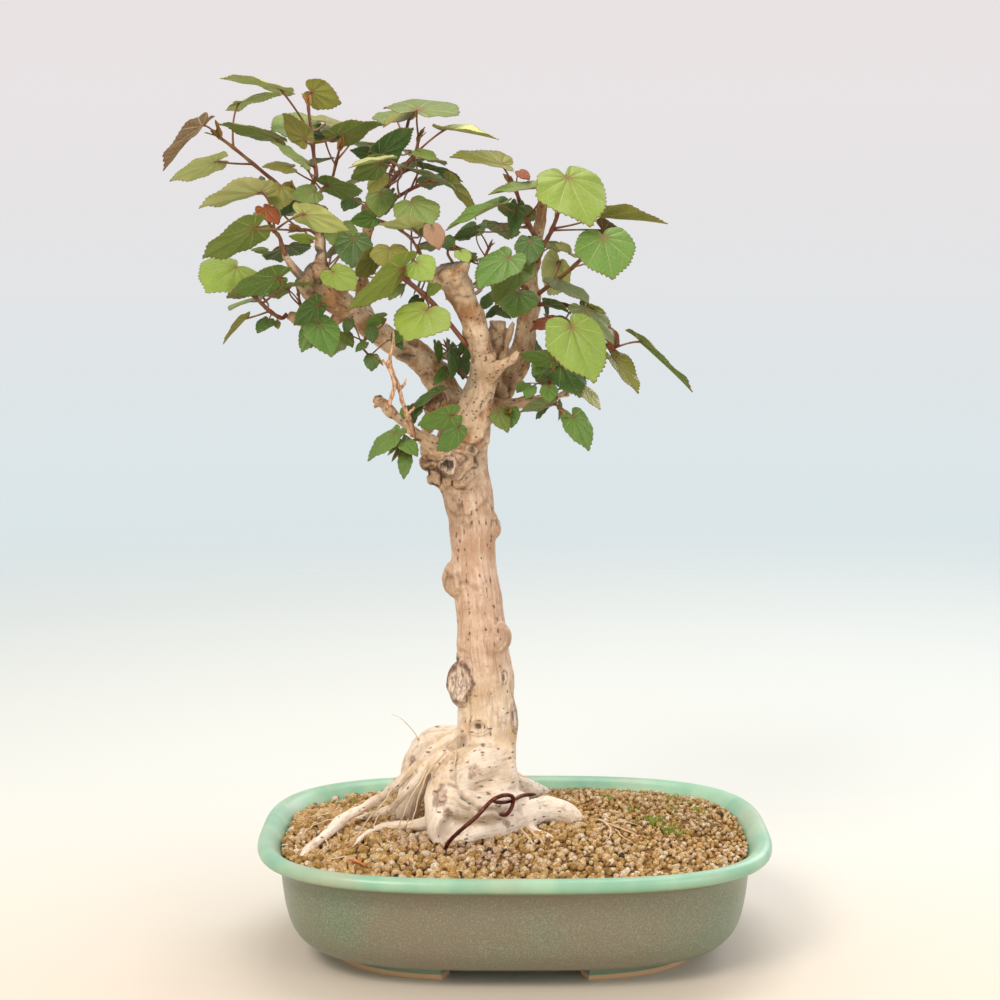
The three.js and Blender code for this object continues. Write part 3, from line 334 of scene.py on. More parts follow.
def foot_arc(middle):
    steps = 14
    points = []
    for i in range(steps + 1):
        turn = middle + FOOT_SPREAD * (2 * i / steps - 1)
        c, s = math.cos(turn), math.sin(turn)
        unit_x = math.copysign(abs(c) ** (2 / FOOT_SQUARENESS), c)
        unit_y = math.copysign(abs(s) ** (2 / FOOT_SQUARENESS), s)
        points += [(a * unit_x, b * unit_y, height) for a, b, height in FOOT_SECTION]
    return mesh_of("foot", points, skin_faces(steps + 1, len(FOOT_SECTION)))


def drain_drill(x):
    sides = 40
    turns = np.arange(sides) * 2 * math.pi / sides
    ring = np.column_stack([x + DRAIN_RADIUS * np.cos(turns), DRAIN_RADIUS * np.sin(turns)])
    points = [np.column_stack([ring, np.full(sides, z)]) for z in (-14, 8)]
    return mesh_of("drill", np.vstack(points), skin_faces(2, sides))


def carved(mesh, tools):
    """The mesh with each tool mesh joined to it or cut from it."""
    body = bpy.data.objects.new("work", mesh)
    bpy.context.scene.collection.objects.link(body)
    helpers = []
    for operation, tool in tools:
        for each in (mesh, tool):
            each.validate()
        helper = bpy.data.objects.new("tool", tool)
        bpy.context.scene.collection.objects.link(helper)
        helpers.append(helper)
        cut = body.modifiers.new("cut", "BOOLEAN")
        cut.operation = operation
        cut.object = helper
        cut.solver = "MANIFOLD"
    made = bpy.data.meshes.new_from_object(body.evaluated_get(bpy.context.evaluated_depsgraph_get()))
    for each in [body, *helpers]:
        bpy.data.objects.remove(each)
    made.name = mesh.name
    return made


def turned_out(mesh):
    """Turns the faces of a closed mesh so that they all point outwards."""
    work = bmesh.new()
    work.from_mesh(mesh)
    bmesh.ops.recalc_face_normals(work, faces=work.faces)
    work.to_mesh(mesh)
    work.free()
    return mesh


pot_tools = [("UNION", turned_out(foot_arc(math.pi * (0.25 + 0.5 * k)))) for k in range(4)]
pot_tools += [("DIFFERENCE", turned_out(drain_drill(x))) for x in (-DRAIN_ACROSS, DRAIN_ACROSS)]
pot_mesh = carved(turned_out(pot_body()), pot_tools)
pot_mesh.name = "glazed_pot"
pot_mesh.shade_smooth()
pot_mesh.set_sharp_from_angle(angle=math.radians(42))

# Heights in metres above the shelf at which the lip's green glaze, the green band over the feet
# and the bare clay of the soles begin and are full.
LIP_HEIGHTS = (0.0618, 0.0655)
BAND_HEIGHTS = (0.0104, 0.0092)
BARE_HEIGHTS = (0.0041, 0.0035)

glaze = Finish("seafoam_glaze")
glaze_at = glaze.place()
glaze_x, _, glaze_z = glaze.parts_of(glaze_at)
side_reach = glaze.sum_of("ABSOLUTE", glaze.less(glaze_x, layout_origin[0]))
broad = glaze.clouds(glaze_at, 0.05, 2.0)
fine = glaze.clouds(glaze_at, 0.0009, 3.0, 0.6)
flow = glaze.clouds(glaze.stretched(glaze_at, (1, 1, 0.35)), 0.02, 2.0)
# Where the glaze is thin on the outside wall it is brown, and it greens towards the two ends.
ends_green = glaze.between(side_reach, 0.05, 0.15)
greening = glaze.plus(glaze.times(broad, 0.75), glaze.times(ends_green, 0.3))
greening = glaze.plus(greening, glaze.times(flow, 0.2))
wall_colour = glaze.blended(glaze.between(greening, 0.4, 0.95), shade("#7b725f"), shade("#64765f"))
speckle = glaze.between(glaze.plus(fine, glaze.times(greening, 0.12)), 0.56, 0.68)
wall_colour = glaze.tinted(wall_colour, speckle, 0.55, "#8d9a7d")
pits = glaze.between(glaze.clouds(glaze.stretched(glaze_at, (1.1, 1.1, 1.1)), 0.001, 2.0), 0.6, 0.7)
wall_colour = glaze.tinted(wall_colour, pits, 0.35, "#564b40")
# The glaze pools thick and mint-green on the lip and inside, and thins to grey along its edges.
lip_colour = glaze.blended(glaze.between(flow, 0.3, 0.75), shade("#7fae90"), shade("#9abd9d"))
thin_lip = glaze.between(glaze.plus(broad, glaze.times(fine, 0.35)), 0.64, 0.92)
lip_colour = glaze.tinted(lip_colour, thin_lip, 0.55, "#a8a88c")
lip_wave = glaze.times(glaze.less(fine, 0.5), 0.007)
above = glaze.plus(glaze_z, lip_wave)
on_lip = glaze.between(above, *LIP_HEIGHTS)
body_colour = glaze.blended(on_lip, wall_colour, lip_colour)
# A green band lies above the feet, and the sole of each foot is bare tan clay.
foot_edge = glaze.plus(glaze_z, glaze.times(broad, 0.0016))
band = glaze.between(foot_edge, *BAND_HEIGHTS)
body_colour = glaze.tinted(body_colour, band, 0.8, "#7d9a80")
bare = glaze.between(foot_edge, *BARE_HEIGHTS)
body_colour = glaze.blended(bare, body_colour, shade("#dab68c"))
gloss = glaze.plus(glaze.times(fine, 0.16), 0.24)
gloss = glaze.plus(gloss, glaze.times(bare, 0.5))
orange_peel = glaze.relief(glaze.clouds(glaze_at, 0.006, 2.0), 0.00006)
pot_finish = glaze.surface(
    Base_Color=body_colour,
    Roughness=gloss,
    Normal=glaze.relief(fine, 0.000025, orange_peel),
)
piece_of(pot_mesh, [pot_finish], "glaze", ["pot"])

# Drain screens
# Two squares of black plastic mesh lie over the drain holes, under the soil. They keep the shape
# they were made with and only get their finish here.
screen_look = Finish("screen_plastic")
screen_grain = screen_look.clouds(screen_look.place(), 0.0009, 3.0)
screen_finish = screen_look.surface(
    Base_Color=screen_look.blended(screen_grain, shade("#1f2321"), shade("#3a403c")),
    Roughness=0.55,
    Normal=screen_look.relief(screen_grain, 0.00005),
)
for screen in ("drain_mesh_left", "drain_mesh_right"):
    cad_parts[screen].data.materials.clear()
    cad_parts[screen].data.materials.append(screen_finish)

# Trunk, branches and surface roots
# One piece of living wood, thick and pale, with roots that cross over the soil, two forks, old
# pruning wounds grown over with callus, and burls. Points are x, y, z and radius.
TRUNK = [
    (-16, 2, 30, 15), (-16, 1, 50, 19), (-16, 0, 66, 20), (-16, 0, 80, 19), (-16, 0, 95, 17.8),
    (-16, 0, 110, 17.2), (-16, 0, 126, 17.1), (-16, 0, 138, 16.2), (-17, 0, 153, 15.3),
    (-19, 0, 168, 14.9), (-20, 1, 182, 13.8), (-21, 2, 194, 13.3), (-22, 3, 206, 13.3),
    (-24, 4, 217, 13.3), (-25, 4, 229, 13.1), (-26, 4, 244, 13.5), (-28, 3, 259, 14.6),
    (-31, 2, 271, 15.7), (-31, 1, 283, 16), (-29, 1, 296, 14),
]
BRANCHES = {
    "centre": [
        (-29, -2, 287, 12), (-25, -10, 301, 12), (-22, -13, 312, 11), (-19, -16, 322, 8.6),
        (-18, -18, 333, 7.7), (-20, -20, 344, 7.1), (-23, -22, 355, 7), (-27, -24, 366, 6.9),
        (-32, -26, 376, 8), (-36, -28, 384, 8.8), (-38, -29, 391, 8),
    ],
    "left": [
        (-28, 4, 296, 11), (-38, 8, 312, 9.9), (-47, 8, 327, 8.7), (-58, 4, 338, 7.8),
        (-71, -2, 346, 7.5), (-84, -8, 355, 7.4), (-95, -12, 365, 7.1), (-104, -16, 373, 6.8),
        (-111, -18, 381, 7.2), (-117, -20, 388, 7),
    ],
    "right": [
        (-28, 5, 289, 9), (-22, 9, 301, 9.2), (-13, 14, 312, 9.2), (-3, 19, 323, 8.2),
        (4, 22, 337, 7.3), (7, 22, 352, 6.3), (10, 20, 369, 5.1), (9, 18, 383, 4.5),
        (12, 16, 398, 4.1), (14, 14, 410, 3.8), (16, 12, 422, 3.6), (18, 10, 432, 3.3),
    ],
    "middle": [
        (-80, -2, 352, 5.2), (-87, 10, 366, 3.8), (-88, 19, 384, 3.4), (-87, 26, 402, 3.3),
        (-86, 28, 413, 4), (-84, 30, 423, 5.2),
    ],
    "pale": [
        (-106, -18, 375, 5), (-110, -16, 391, 3.8), (-111, -14, 401, 3.5), (-112, -12, 410, 3.5),
        (-115, -10, 418, 3.6), (-118, -8, 424, 4.2),
    ],
    "smooth_fork": [
        (-94, -12, 361, 4.6), (-106, -20, 368, 4), (-115, -26, 374, 3.6), (-122, -30, 384, 3.4),
        (-127, -32, 392, 3.1), (-130, -33, 398, 2.8),
    ],
    "under_stub": [
        (-96, -12, 362, 4.2), (-108, -16, 356, 3.4), (-119, -20, 357, 2.8), (-128, -22, 362, 3),
    ],
    "low_right": [
        (-17, 6, 307, 5.4), (-1, 0, 309, 4), (12, -6, 312, 3.2), (23, -12, 315, 2.4),
        (31, -16, 317, 2.2),
    ],
    "wound_spur": [(-34, -28, 382, 6), (-44, -30, 384, 5.2), (-51, -31, 385, 4.2)],
    "stub": [(-17, -18, 325, 4.4), (-9, -32, 333, 3.1), (-2, -40, 338, 2.5), (2, -46, 343, 2.2)],
    "broken": [(-12, 8, 320, 4.4), (-11, 2, 336, 4.6), (-10, -2, 349, 5), (-10, -4, 358, 5)],
    "split_side": [(-10, -2, 330, 3.2), (-7, -5, 342, 2.8), (-3, -7, 351, 2.2), (0, -7, 357, 1.7)],
    "lower_left": [
        (-38, -8, 280, 6), (-46, -18, 287, 4.8), (-61, -30, 299, 3.7), (-70, -38, 309, 3.2),
        (-77, -44, 317, 2.9),
    ],
}
ROOTS = {
    "bulb": [
        (-20, 6, 103, 11.5), (-37, 12, 105, 10.7), (-49, 14, 102, 11.8), (-56, 14, 92, 10.6),
        (-60, 12, 81, 9), (-64, 12, 68, 8), (-64, 12, 54, 7),
    ],
    "crossing_upper": [
        (-30, -7, 118, 3.2), (-36, -18, 117, 3), (-46, -22, 111, 2.8), (-55, -24, 104, 2.8),
        (-70, -18, 87, 2.8), (-84, -6, 74, 3.1), (-99, -8, 66, 3.1), (-110, -26, 60, 2.6),
        (-119, -40, 56, 1.8), (-123, -48, 52, 1.3),
    ],
    "crossing_lower": [
        (-38, -24, 109, 2.5), (-51, -28, 101, 2.4), (-62, -26, 87, 2.4), (-73, -12, 72, 2.3),
        (-86, 2, 64, 2), (-97, 8, 58, 1.5), (-103, 10, 53, 1.2),
    ],
    "side": [
        (-40, -34, 78, 4), (-51, -26, 68, 3.2), (-62, -18, 63.5, 2.7), (-74, -14, 62.5, 2.2),
        (-85, -22, 61, 1.7), (-92, -38, 58.5, 1.4), (-97, -48, 54, 1.2),
    ],
    "thigh_upper": [
        (-8, -6, 101, 13), (-20, -18, 101, 13), (-33, -25, 97, 12.7), (-41, -31, 89, 10.6),
        (-44, -34, 78, 8.5), (-43, -34, 60, 6.5),
    ],
    "thigh_lower": [
        (-44, -34, 84, 7.6), (-34, -39, 83, 9), (-20, -37, 79, 9), (-6, -26, 77, 8.6),
        (4, -10, 76, 7),
    ],
    "front": [
        (-42, -30, 53, 4), (-34, -36, 60, 6), (-25, -37, 64, 7), (-14, -33, 66, 7.8),
        (5, -18, 69, 8.2), (17, -8, 70, 7.9), (30, -5, 66.5, 6.8), (39, -2, 60, 4.6),
        (45, 4, 52, 3),
    ],
    "small": [
        (2, -19, 62, 3.8), (9, -23, 62.5, 3.4), (18, -31, 61, 2.8), (26, -37, 57.5, 1.8),
        (31, -41, 53, 1.2),
    ],
    "flap": [(-38, -38, 80, 5.4), (-44, -43, 75, 4.4), (-46, -44, 67, 4), (-41, -42, 57, 4)],
    "back_right": [(-9, 14, 84, 10), (7, 38, 70, 7), (20, 62, 60, 4.2), (28, 80, 50, 2.6)],
    "back_left": [(-28, 20, 84, 10), (-42, 44, 70, 7), (-58, 64, 59, 4.2), (-68, 80, 49, 2.6)],
}
ROOT_FLOOR = 49

# Lumps that round the bark out over knots, burls and callus: x, y, z, then the half width, the
# depth to the front and the half height.
LUMPS = [
    (-32.5, 0, 207, 10, 9, 12), (-29.5, -7, 146.5, 9.5, 8, 13), (-11, -6, 173, 9.2, 8.6, 9.6),
    (-14.5, 2, 237, 6.2, 5, 8.5), (-40, -5, 270, 10, 9, 10), (-46, -8, 279, 8.4, 8, 7),
    (-33, -12, 277, 9, 8, 10), (-45, -12, 309, 8.4, 7, 9), (-39, -30, 384, 7.4, 7.4, 8.4),
    (-112, -20, 383, 8, 7, 9), (-12, -13, 91, 15, 14, 17), (-37, -34, 70, 9, 8, 10),
    (-26, -14, 286, 4, 4, 4), (-50, -13, 284, 5, 5, 4.6), (-2.5, 0, 113, 3.2, 3, 4),
    (-20, -20, 86, 9, 9, 10), (-24, -10, 292, 10, 8, 8), (-50, -14, 300, 5, 5, 6), (-52, -10, 276, 4, 5, 5),
    (-30, -30, 389, 4, 4, 5), (-44, -30, 380, 5, 5, 4),
]
# Old wounds where a branch was taken off: x, y, z, half width, half height, height of the rolled
# rim, depth of the hollow, and how dark the rim and the hollow are.
WOUNDS = [
    (-32.5, -13, 147, 7.6, 12.4, 1.7, 2.4, 0.85, 0.0),
    (-10.5, -14, 173, 6.6, 6.8, 0.7, 0.2, 0.12, 0.0),
    (-21.5, -17, 122, 6.4, 4.8, 1.0, 2.2, 0.1, 0.8),
    (-14, -16.5, 141.5, 2.3, 2.3, 0.5, 0.7, 0.25, 0.4),
    (-38.5, -18, 276, 7.6, 6.6, 1.2, 2.2, 0.8, 0.8),
    (-25, -18, 285, 3, 3, 0.6, 1.0, 0.4, 0.6),
    (-1, -5, 127, 1.8, 9, 0.4, 1.0, 0.6, 0.5),
    (-6, -8, 150, 1.6, 4, 0.3, 0.8, 0.7, 0.6),
]
# Rugged burls of dark, cracked bark, with painted shade in the cracks: x, y, z, radius, and how dark the
# cracks are.
BURLS = [
    (-40, -8, 272, 17, 1.0), (-48, -13, 283, 8, 1.0), (-28, -12, 280, 11, 0.8), (-45, -12, 309, 11, 0.7),
    (-39, -30, 386, 11, 0.6), (-51, -31, 385, 6, 0.5), (-112, -20, 383, 11, 0.7), (-100, -14, 367, 9, 0.6),
    (-62, 0, 340, 9, 0.8), (-50, 4, 330, 8, 0.7), (-22, -14, 303, 10, 0.4), (-16, -18, 326, 8, 0.5),
    (-84, 30, 421, 7, 0.6), (-118, -8, 423, 6, 0.6), (-9, -4, 350, 9, 0.5), (-77, -44, 316, 4, 0.9),
    (-5, 8, 312, 10, 0.6), (-30, -30, 376, 8, 0.5), (-37, -4, 207, 9, 0.35), (-8, -6, 173, 7, 0.25),
    (-10, 0, 238, 7, 0.35), (-38, -8, 252, 8, 0.5), (-16, -24, 345, 8, 0.3), (-12, -4, 352, 7, 0.6),
]
# Patches where the thin skin has flaked off the roots and left brown wood: x, y, z and radius.
FLAKES = [
    (-43, -42, 87, 6.5), (-42, -42, 95, 4.5), (-38, -44, 79, 4), (-24, -32, 100, 4.5), (-54, 2, 112, 4.5),
    (-60, 4, 97, 3), (20, -15, 76, 2.6), (-4, -36, 70, 3.4), (-33, -40, 62, 3), (-20, 20, 100, 6),
    (2, 12, 92, 5), (-44, 24, 88, 6),
]
# Flat saw cuts: a point on the cut, the way it faces, how far it reaches, and its colour.
CUTS = [
    ((-38, -29, 389.5), (-0.25, -0.15, 1), 10, "grey"),
    ((2, -46, 342.6), (0.45, -0.7, 0.55), 5, "cream"),
    ((30.6, -16, 317), (1, -0.3, 0.2), 4, "cream"),
    ((-51.5, -31, 385), (-1, -0.1, 0.15), 6, "rust"),
    ((-118, -21, 388), (-0.7, -0.3, 0.8), 9, "grey"),
    ((-77.4, -44, 317.5), (-0.6, -0.4, 0.8), 5, "rust"),
    ((-128, -22, 362.4), (-1, 0, 0.5), 4, "rust"),
]
CUT_COLOURS = {"grey": "#8d8373", "cream": "#ecd8b8", "rust": "#a66a35"}
# Broken lines of dark pores down the front of the trunk, as x and z.
PORE_LINES = [
    [
        (-22, 252), (-20.5, 236), (-19.3, 213), (-16.7, 207), (-15.6, 197), (-11.8, 189),
        (-9.4, 176), (-8.4, 156),
    ],
    [(-31, 262), (-30, 240), (-29, 224), (-28, 205), (-26.5, 190), (-26, 178), (-28, 166)],
    [(-14, 250), (-14, 232), (-15, 222)],
    [(-26, 266), (-25, 250), (-25, 238)],
    [(-19, 134), (-19, 129)],
    [(-24, 262), (-22, 250)],
    [(-34.6, 147.5), (-32, 143)],
    [(-10, 181), (-9.6, 166)],
    [(-9, 163), (-8.6, 156)],
    [(-21, 205), (-19, 196), (-17, 186)],
    [(-34, 236), (-33.6, 222), (-33, 214)],
]
# Creases where one season's bark overlaps the last, where the front branch leaves the trunk, and
# between the roots: x and z of the ends, seen from the front, and how deep, which also sets their painted
# shade.
CREASES = [
    ((-38, 249), (-27, 244), 1.0), ((-27, 244), (-14, 256), 1.0), ((-32, 205), (-21, 204), 1.0),
    ((-33, 167), (-27, 167), 1.0), ((-40, 262), (-30, 262), 1.0), ((-30, 262), (-22, 268), 1.0),
    ((-33, 290), (-25, 286), 1.8), ((-25, 286), (-19, 290), 1.8), ((-19, 290), (-15, 298), 1.6),
    ((-35, 112), (-35, 98), 0.8), ((-35, 98), (-30, 88), 0.8), ((-30, 88), (-20, 81), 2.0),
    ((-38, 93), (-28, 86), 2.0), ((-20, 81), (-6, 78), 2.0), ((-11, 336), (-4, 356), 2.0),
]
BARK_VOXEL = 1.1


def tube_points(route, sides):
    """Rings of points round a route of x, y, z and radius, with the ring turned as little as can be."""
    centres, radii = route[:, :3], route[:, 3]
    across = None
    rings = []
    frames = []
    for i in range(len(route)):
        along = centres[min(i + 1, len(route) - 1)] - centres[max(i - 1, 0)]
        along = along / np.linalg.norm(along)
        if across is None:
            across = np.array((0.0, -1.0, 0.0)) if abs(along[1]) < 0.8 else np.array((1.0, 0.0, 0.0))
        across = across - along * (across @ along)
        across = across / np.linalg.norm(across)
        over = np.cross(along, across)
        turns = np.arange(sides) * 2 * math.pi / sides
        ring = np.outer(np.cos(turns), across) + np.outer(np.sin(turns), over)
        rings.append(centres[i] + radii[i] * ring)
        frames.append((across, over, along))
    return np.vstack(rings), frames


def roughness_at(points, size, seed):
    """Smooth random values from -1 to 1 at places in space, in lumps about `size` across."""
    cells = np.asarray(points, float) / size
    corner = np.floor(cells).astype(np.int64)
    part = cells - corner
    part = part * part * (3 - 2 * part)
    total = np.zeros(len(cells))
    for dx in (0, 1):
        for dy in (0, 1):
            for dz in (0, 1):
                key = (corner[:, 0] + dx) * 73856093
                key ^= (corner[:, 1] + dy) * 19349663
                key ^= (corner[:, 2] + dz) * 83492791
                key = (key + seed * 15485863) & 0x7FFFFFFF
                key = ((key >> 13) ^ key) * 60493 & 0x7FFFFFFF
                key = ((key >> 15) ^ key) & 0xFFFF
                share = (
                    np.where(dx, part[:, 0], 1 - part[:, 0])
                    * np.where(dy, part[:, 1], 1 - part[:, 1])
                    * np.where(dz, part[:, 2], 1 - part[:, 2])
                )
                total += share * (key / 32767.5 - 1)
    return total


def rough_wood():
    """Every limb as a closed tube, with the lumps, before they are fused into one skin."""
    points, faces, count = [], [], 0
    for limb in [TRUNK, *BRANCHES.values(), *ROOTS.values()]:
        route = smooth_route(limb, 3)
        ring, _ = tube_points(route, 20)
        points.append(ring)
        faces += [tuple(v + count for v in face) for face in skin_faces(len(route), 20)]
        count += len(ring)
    ball = bmesh.new()
    bmesh.ops.create_icosphere(ball, subdivisions=3, radius=1)
    ball_points = np.array([v.co for v in ball.verts])
    ball_faces = [tuple(v.index for v in face.verts) for face in ball.faces]
    ball.free()
    for x, y, z, half_width, half_depth, half_height in LUMPS:
        points.append(ball_points * (half_width, half_depth, half_height) + (x, y, z))
        faces += [tuple(v + count for v in face) for face in ball_faces]
        count += len(ball_points)
    return mesh_of("rough_wood", np.vstack(points), faces)


def remeshed(mesh, voxel, smoothing):
    """One even skin over all the closed shells in the mesh, a little smoothed."""
    work = bpy.data.objects.new("work", mesh)
    bpy.context.scene.collection.objects.link(work)
    remesh = work.modifiers.new("skin", "REMESH")
    remesh.mode = "VOXEL"
    remesh.voxel_size = voxel * MM
    smooth = work.modifiers.new("smooth", "SMOOTH")
    smooth.iterations = smoothing
    smooth.factor = 0.5
    made = bpy.data.meshes.new_from_object(work.evaluated_get(bpy.context.evaluated_depsgraph_get()))
    bpy.data.objects.remove(work)
    return made


def points_of(mesh):
    flat = np.zeros(len(mesh.vertices) * 3, np.float32)
    mesh.vertices.foreach_get("co", flat)
    return (flat.reshape(-1, 3).astype(float) - layout_origin) / MM


def normals_of(mesh):
    flat = np.zeros(len(mesh.vertices) * 3, np.float32)
    mesh.vertex_normals.foreach_get("vector", flat)
    return flat.reshape(-1, 3).astype(float)


def move_points(mesh, points):
    placed = (points * MM + layout_origin).astype(np.float32)
    mesh.vertices.foreach_set("co", placed.ravel())
    mesh.update()


def store(mesh, name, values):
    """Keeps a number, a place or a colour for each point of a mesh, for its finish to read."""
    values = np.asarray(values, np.float32)
    if values.ndim == 1:
        mesh.attributes.new(name, "FLOAT", "POINT").data.foreach_set("value", values)
    elif name.endswith("colour"):
        layer = mesh.color_attributes.new(name, "FLOAT_COLOR", "POINT")
        full = np.column_stack([values, np.ones(len(values), np.float32)])
        layer.data.foreach_set("color", full.ravel())
    else:
        mesh.attributes.new(name, "FLOAT_VECTOR", "POINT").data.foreach_set("vector", values.ravel())


def grain_of(points):
    """Each point's place round and along its nearest limb, and how far it is from the next limb."""
    best = np.full(len(points), 1e9)
    second = np.full(len(points), 1e9)
    grain = np.zeros((len(points), 3))
    for k, limb in enumerate([TRUNK, *BRANCHES.values(), *ROOTS.values()]):
        route = smooth_route(limb, 2)
        _, frames = tube_points(route, 3)
        gone = np.concatenate([[0], np.cumsum(np.linalg.norm(np.diff(route[:, :3], axis=0), axis=1))])
        limb_gap = np.full(len(points), 1e9)
        limb_grain = np.zeros((len(points), 3))
        for i in range(len(route) - 1):
            start, span = route[i, :3], route[i + 1, :3] - route[i, :3]
            part = np.clip((points - start) @ span / (span @ span), 0, 1)
            off = points - start - part[:, None] * span
            away = np.linalg.norm(off, axis=1) - route[i, 3] - part * (route[i + 1, 3] - route[i, 3])
            nearer = away < limb_gap
            limb_gap[nearer] = away[nearer]
            across, over, _ = frames[i]
            along = gone[i] + part * (gone[i + 1] - gone[i]) + 60 * k
            limb_grain[nearer] = np.column_stack([off @ across, off @ over, along])[nearer]
        nearer = limb_gap < best
        second = np.where(nearer, best, np.minimum(second, limb_gap))
        best = np.where(nearer, limb_gap, best)
        grain[nearer] = limb_grain[nearer]
    return grain, np.clip((second - best) / 5, 0, 1)


def near(points, x, y, z, radius):
    """1 at a place, easing to 0 at the radius."""
    gap = np.linalg.norm(points - (x, y, z), axis=1) / radius
    return np.clip(1 - gap, 0, 1) ** 2 * (3 - 2 * np.clip(1 - gap, 0, 1))


def off_line(points, ends):
    """Each point's distance from a line drawn on the front of the trunk, seen from the front."""
    (x0, z0), (x1, z1) = ends
    span = np.array((x1 - x0, z1 - z0))
    flat = points[:, [0, 2]] - (x0, z0)
    part = np.clip(flat @ span / (span @ span), 0, 1)
    return np.linalg.norm(flat - part[:, None] * span, axis=1)


def barked(mesh):
    """Works the bark's relief into the skin, and stores what the finish needs to colour it."""
    points, normals = points_of(mesh), normals_of(mesh)
    grain, alone = grain_of(points)
    front = np.clip(-normals[:, 1] * 2, 0, 1)
    in_branches = np.clip((points[:, 2] - 275) / 25, 0, 1)
    dark = np.zeros(len(points))
    lift = np.zeros(len(points))

    # Long shallow flutes and fine ridges along the wood, and soft swellings all over.
    lift += 0.5 * roughness_at(grain * (1, 1, 0.12), 6.0, 1)
    lift += 0.3 * roughness_at(grain * (1, 1, 0.2), 2.4, 2)
    split = np.abs(roughness_at(grain * (1, 1, 0.1), 3.6, 5)) + 0.5 * np.abs(roughness_at(points, 5.0, 6))
    split = np.clip(1 - split * 7, 0, 1)
    lift -= 0.35 * split
    wave = np.abs(roughness_at(grain * (0.3, 0.3, 1), 3.4, 9)) + 0.5 * np.abs(roughness_at(points, 6.0, 21))
    wrinkle = np.clip(1 - wave * 6, 0, 1) * (0.3 + 0.7 * in_branches)
    lift -= 0.5 * wrinkle
    lift *= alone
    # Painted shade: the splits and wrinkles are darkened in colour as well as sunk.
    dark += (0.15 * split + 0.25 * wrinkle) * alone
    lift += 1.0 * roughness_at(points, 15.0, 3) + 0.5 * roughness_at(points, 6.5, 4)
    # The branches are knobbly.
    lift += in_branches * (1.0 * roughness_at(points, 6.5, 7) + 0.5 * roughness_at(points, 3.0, 8))

    gnarl = np.zeros(len(points))
    for x, y, z, radius, depth in BURLS:
        gnarl = np.maximum(gnarl, depth * near(points, x, y, z, radius * 1.5))
    gnarl = np.clip(gnarl * 1.5, 0, 1)
    knobs = roughness_at(points, 7.0, 10) + 0.7 * roughness_at(points, 3.2, 11)
    cleft = np.abs(roughness_at(points * (1, 1, 1.3), 6.5, 12))
    cleft = cleft + 0.25 * np.abs(roughness_at(points, 2.2, 22))
    cleft = np.clip(1 - cleft * 3.8, 0, 1)
    lift += gnarl * (1.7 * knobs - 1.8 * cleft)
    # Painted shade: the clefts in the burls are darkened in colour.
    dark += gnarl * cleft * 1.4

    wound_gap = np.full(len(points), 2.0)
    wound_rim, wound_pit = np.zeros(len(points)), np.zeros(len(points))
    for x, y, z, half_width, half_height, rim, pit, rim_dark, pit_dark in WOUNDS:
        off = points - (x, y, z)
        gap = np.hypot(off[:, 0] / half_width, off[:, 2] / half_height)
        gap = gap + 0.1 * roughness_at(points, 3.4, 13) + 0.16 * roughness_at(points, 7.0, 14)
        gap = np.where((front > 0.02) & (np.abs(off[:, 1]) < 14), gap, 2.0)
        lift += rim * np.exp(-(((gap - 0.95) / 0.22) ** 2))
        lift += 0.25 * np.sin(gap * 17) * np.clip(1.6 - gap, 0, 1) * (gap < 1.6)
        lift -= pit * np.clip((0.72 - gap) * 2.6, 0, 1)
        here = gap < wound_gap
        wound_gap[here] = gap[here]
        wound_rim[here], wound_pit[here] = rim_dark, pit_dark

    pore_gap = np.full(len(points), 4.0)
    for line in PORE_LINES:
        for ends in zip(line, line[1:]):
            pore_gap = np.minimum(pore_gap, off_line(points, ends))
    pore_gap = np.where(front > 0.1, pore_gap + 0.3 * roughness_at(points, 5.0, 15), 4.0)
    for start, end, deep in CREASES:
        away = off_line(points + 2 * roughness_at(points, 7.0, 17)[:, None], (start, end))
        swollen = 0.7 * np.exp(-(((away - 2.4) / 1.8) ** 2)) - 0.5 * np.clip(1 - away / 2, 0, 1)
        lift += deep * swollen * front
        # Painted shade darkens each crease.
        dark += 0.2 * deep * np.clip(1 - away / 2, 0, 1) * front

    peeled = np.zeros(len(points))
    for x, y, z, radius in FLAKES:
        peeled = np.maximum(peeled, 1.4 * near(points, x, y, z, radius * 1.5))
    ragged = roughness_at(points * (1, 1, 0.6), 3.6, 18) + 0.8 * roughness_at(points, 1.9, 19)
    peeled = np.clip((peeled - 0.5 + 0.55 * ragged) * 4, 0, 1) * (peeled > 0.05)
    lift -= 0.5 * peeled
    edge = np.clip(1 - np.abs(peeled - 0.45) * 2.4, 0, 1)
    lift += 0.3 * edge
    dark += 0.5 * edge * np.clip(roughness_at(points, 3.0, 23) * 2, 0, 1)

    points = points + normals * lift[:, None]
    cut_colour, cut_share = np.zeros((len(points), 3)), np.zeros(len(points))
    for place, facing, reach, tone in CUTS:
        facing = np.array(facing) / np.linalg.norm(facing)
        over = (points - place) @ facing + 0.5 * roughness_at(points, 2.6, 24)
        cut = (over > -0.4) & (np.linalg.norm(points - place, axis=1) < reach * 1.6)
        beyond = np.where(cut, np.maximum(over, 0), 0)
        points = points - beyond[:, None] * facing
        cut_colour[cut] = shade(CUT_COLOURS[tone])
        cut_share[cut] = np.clip((over[cut] + 0.4) * 1.6, 0, 1)
    points[:, 2] = np.maximum(points[:, 2], ROOT_FLOOR)
    move_points(mesh, points)
    known = {
        "grain_place": grain * MM, "alone": alone, "gnarl": gnarl, "wound_gap": wound_gap,
        "wound_rim": wound_rim, "wound_pit": wound_pit, "pore_gap": pore_gap,
        "dark": np.clip(dark, 0, 1.2), "peeled": peeled, "swell": np.clip(lift * 0.3 + 0.5, 0, 1),
        "cut_share": cut_share, "cut_colour": cut_colour,
    }
    for name, values in known.items():
        store(mesh, name, values)


wood_mesh = remeshed(rough_wood(), BARK_VOXEL, 6)
wood_mesh.name = "tree_trunk"
barked(wood_mesh)
wood_mesh.shade_smooth()

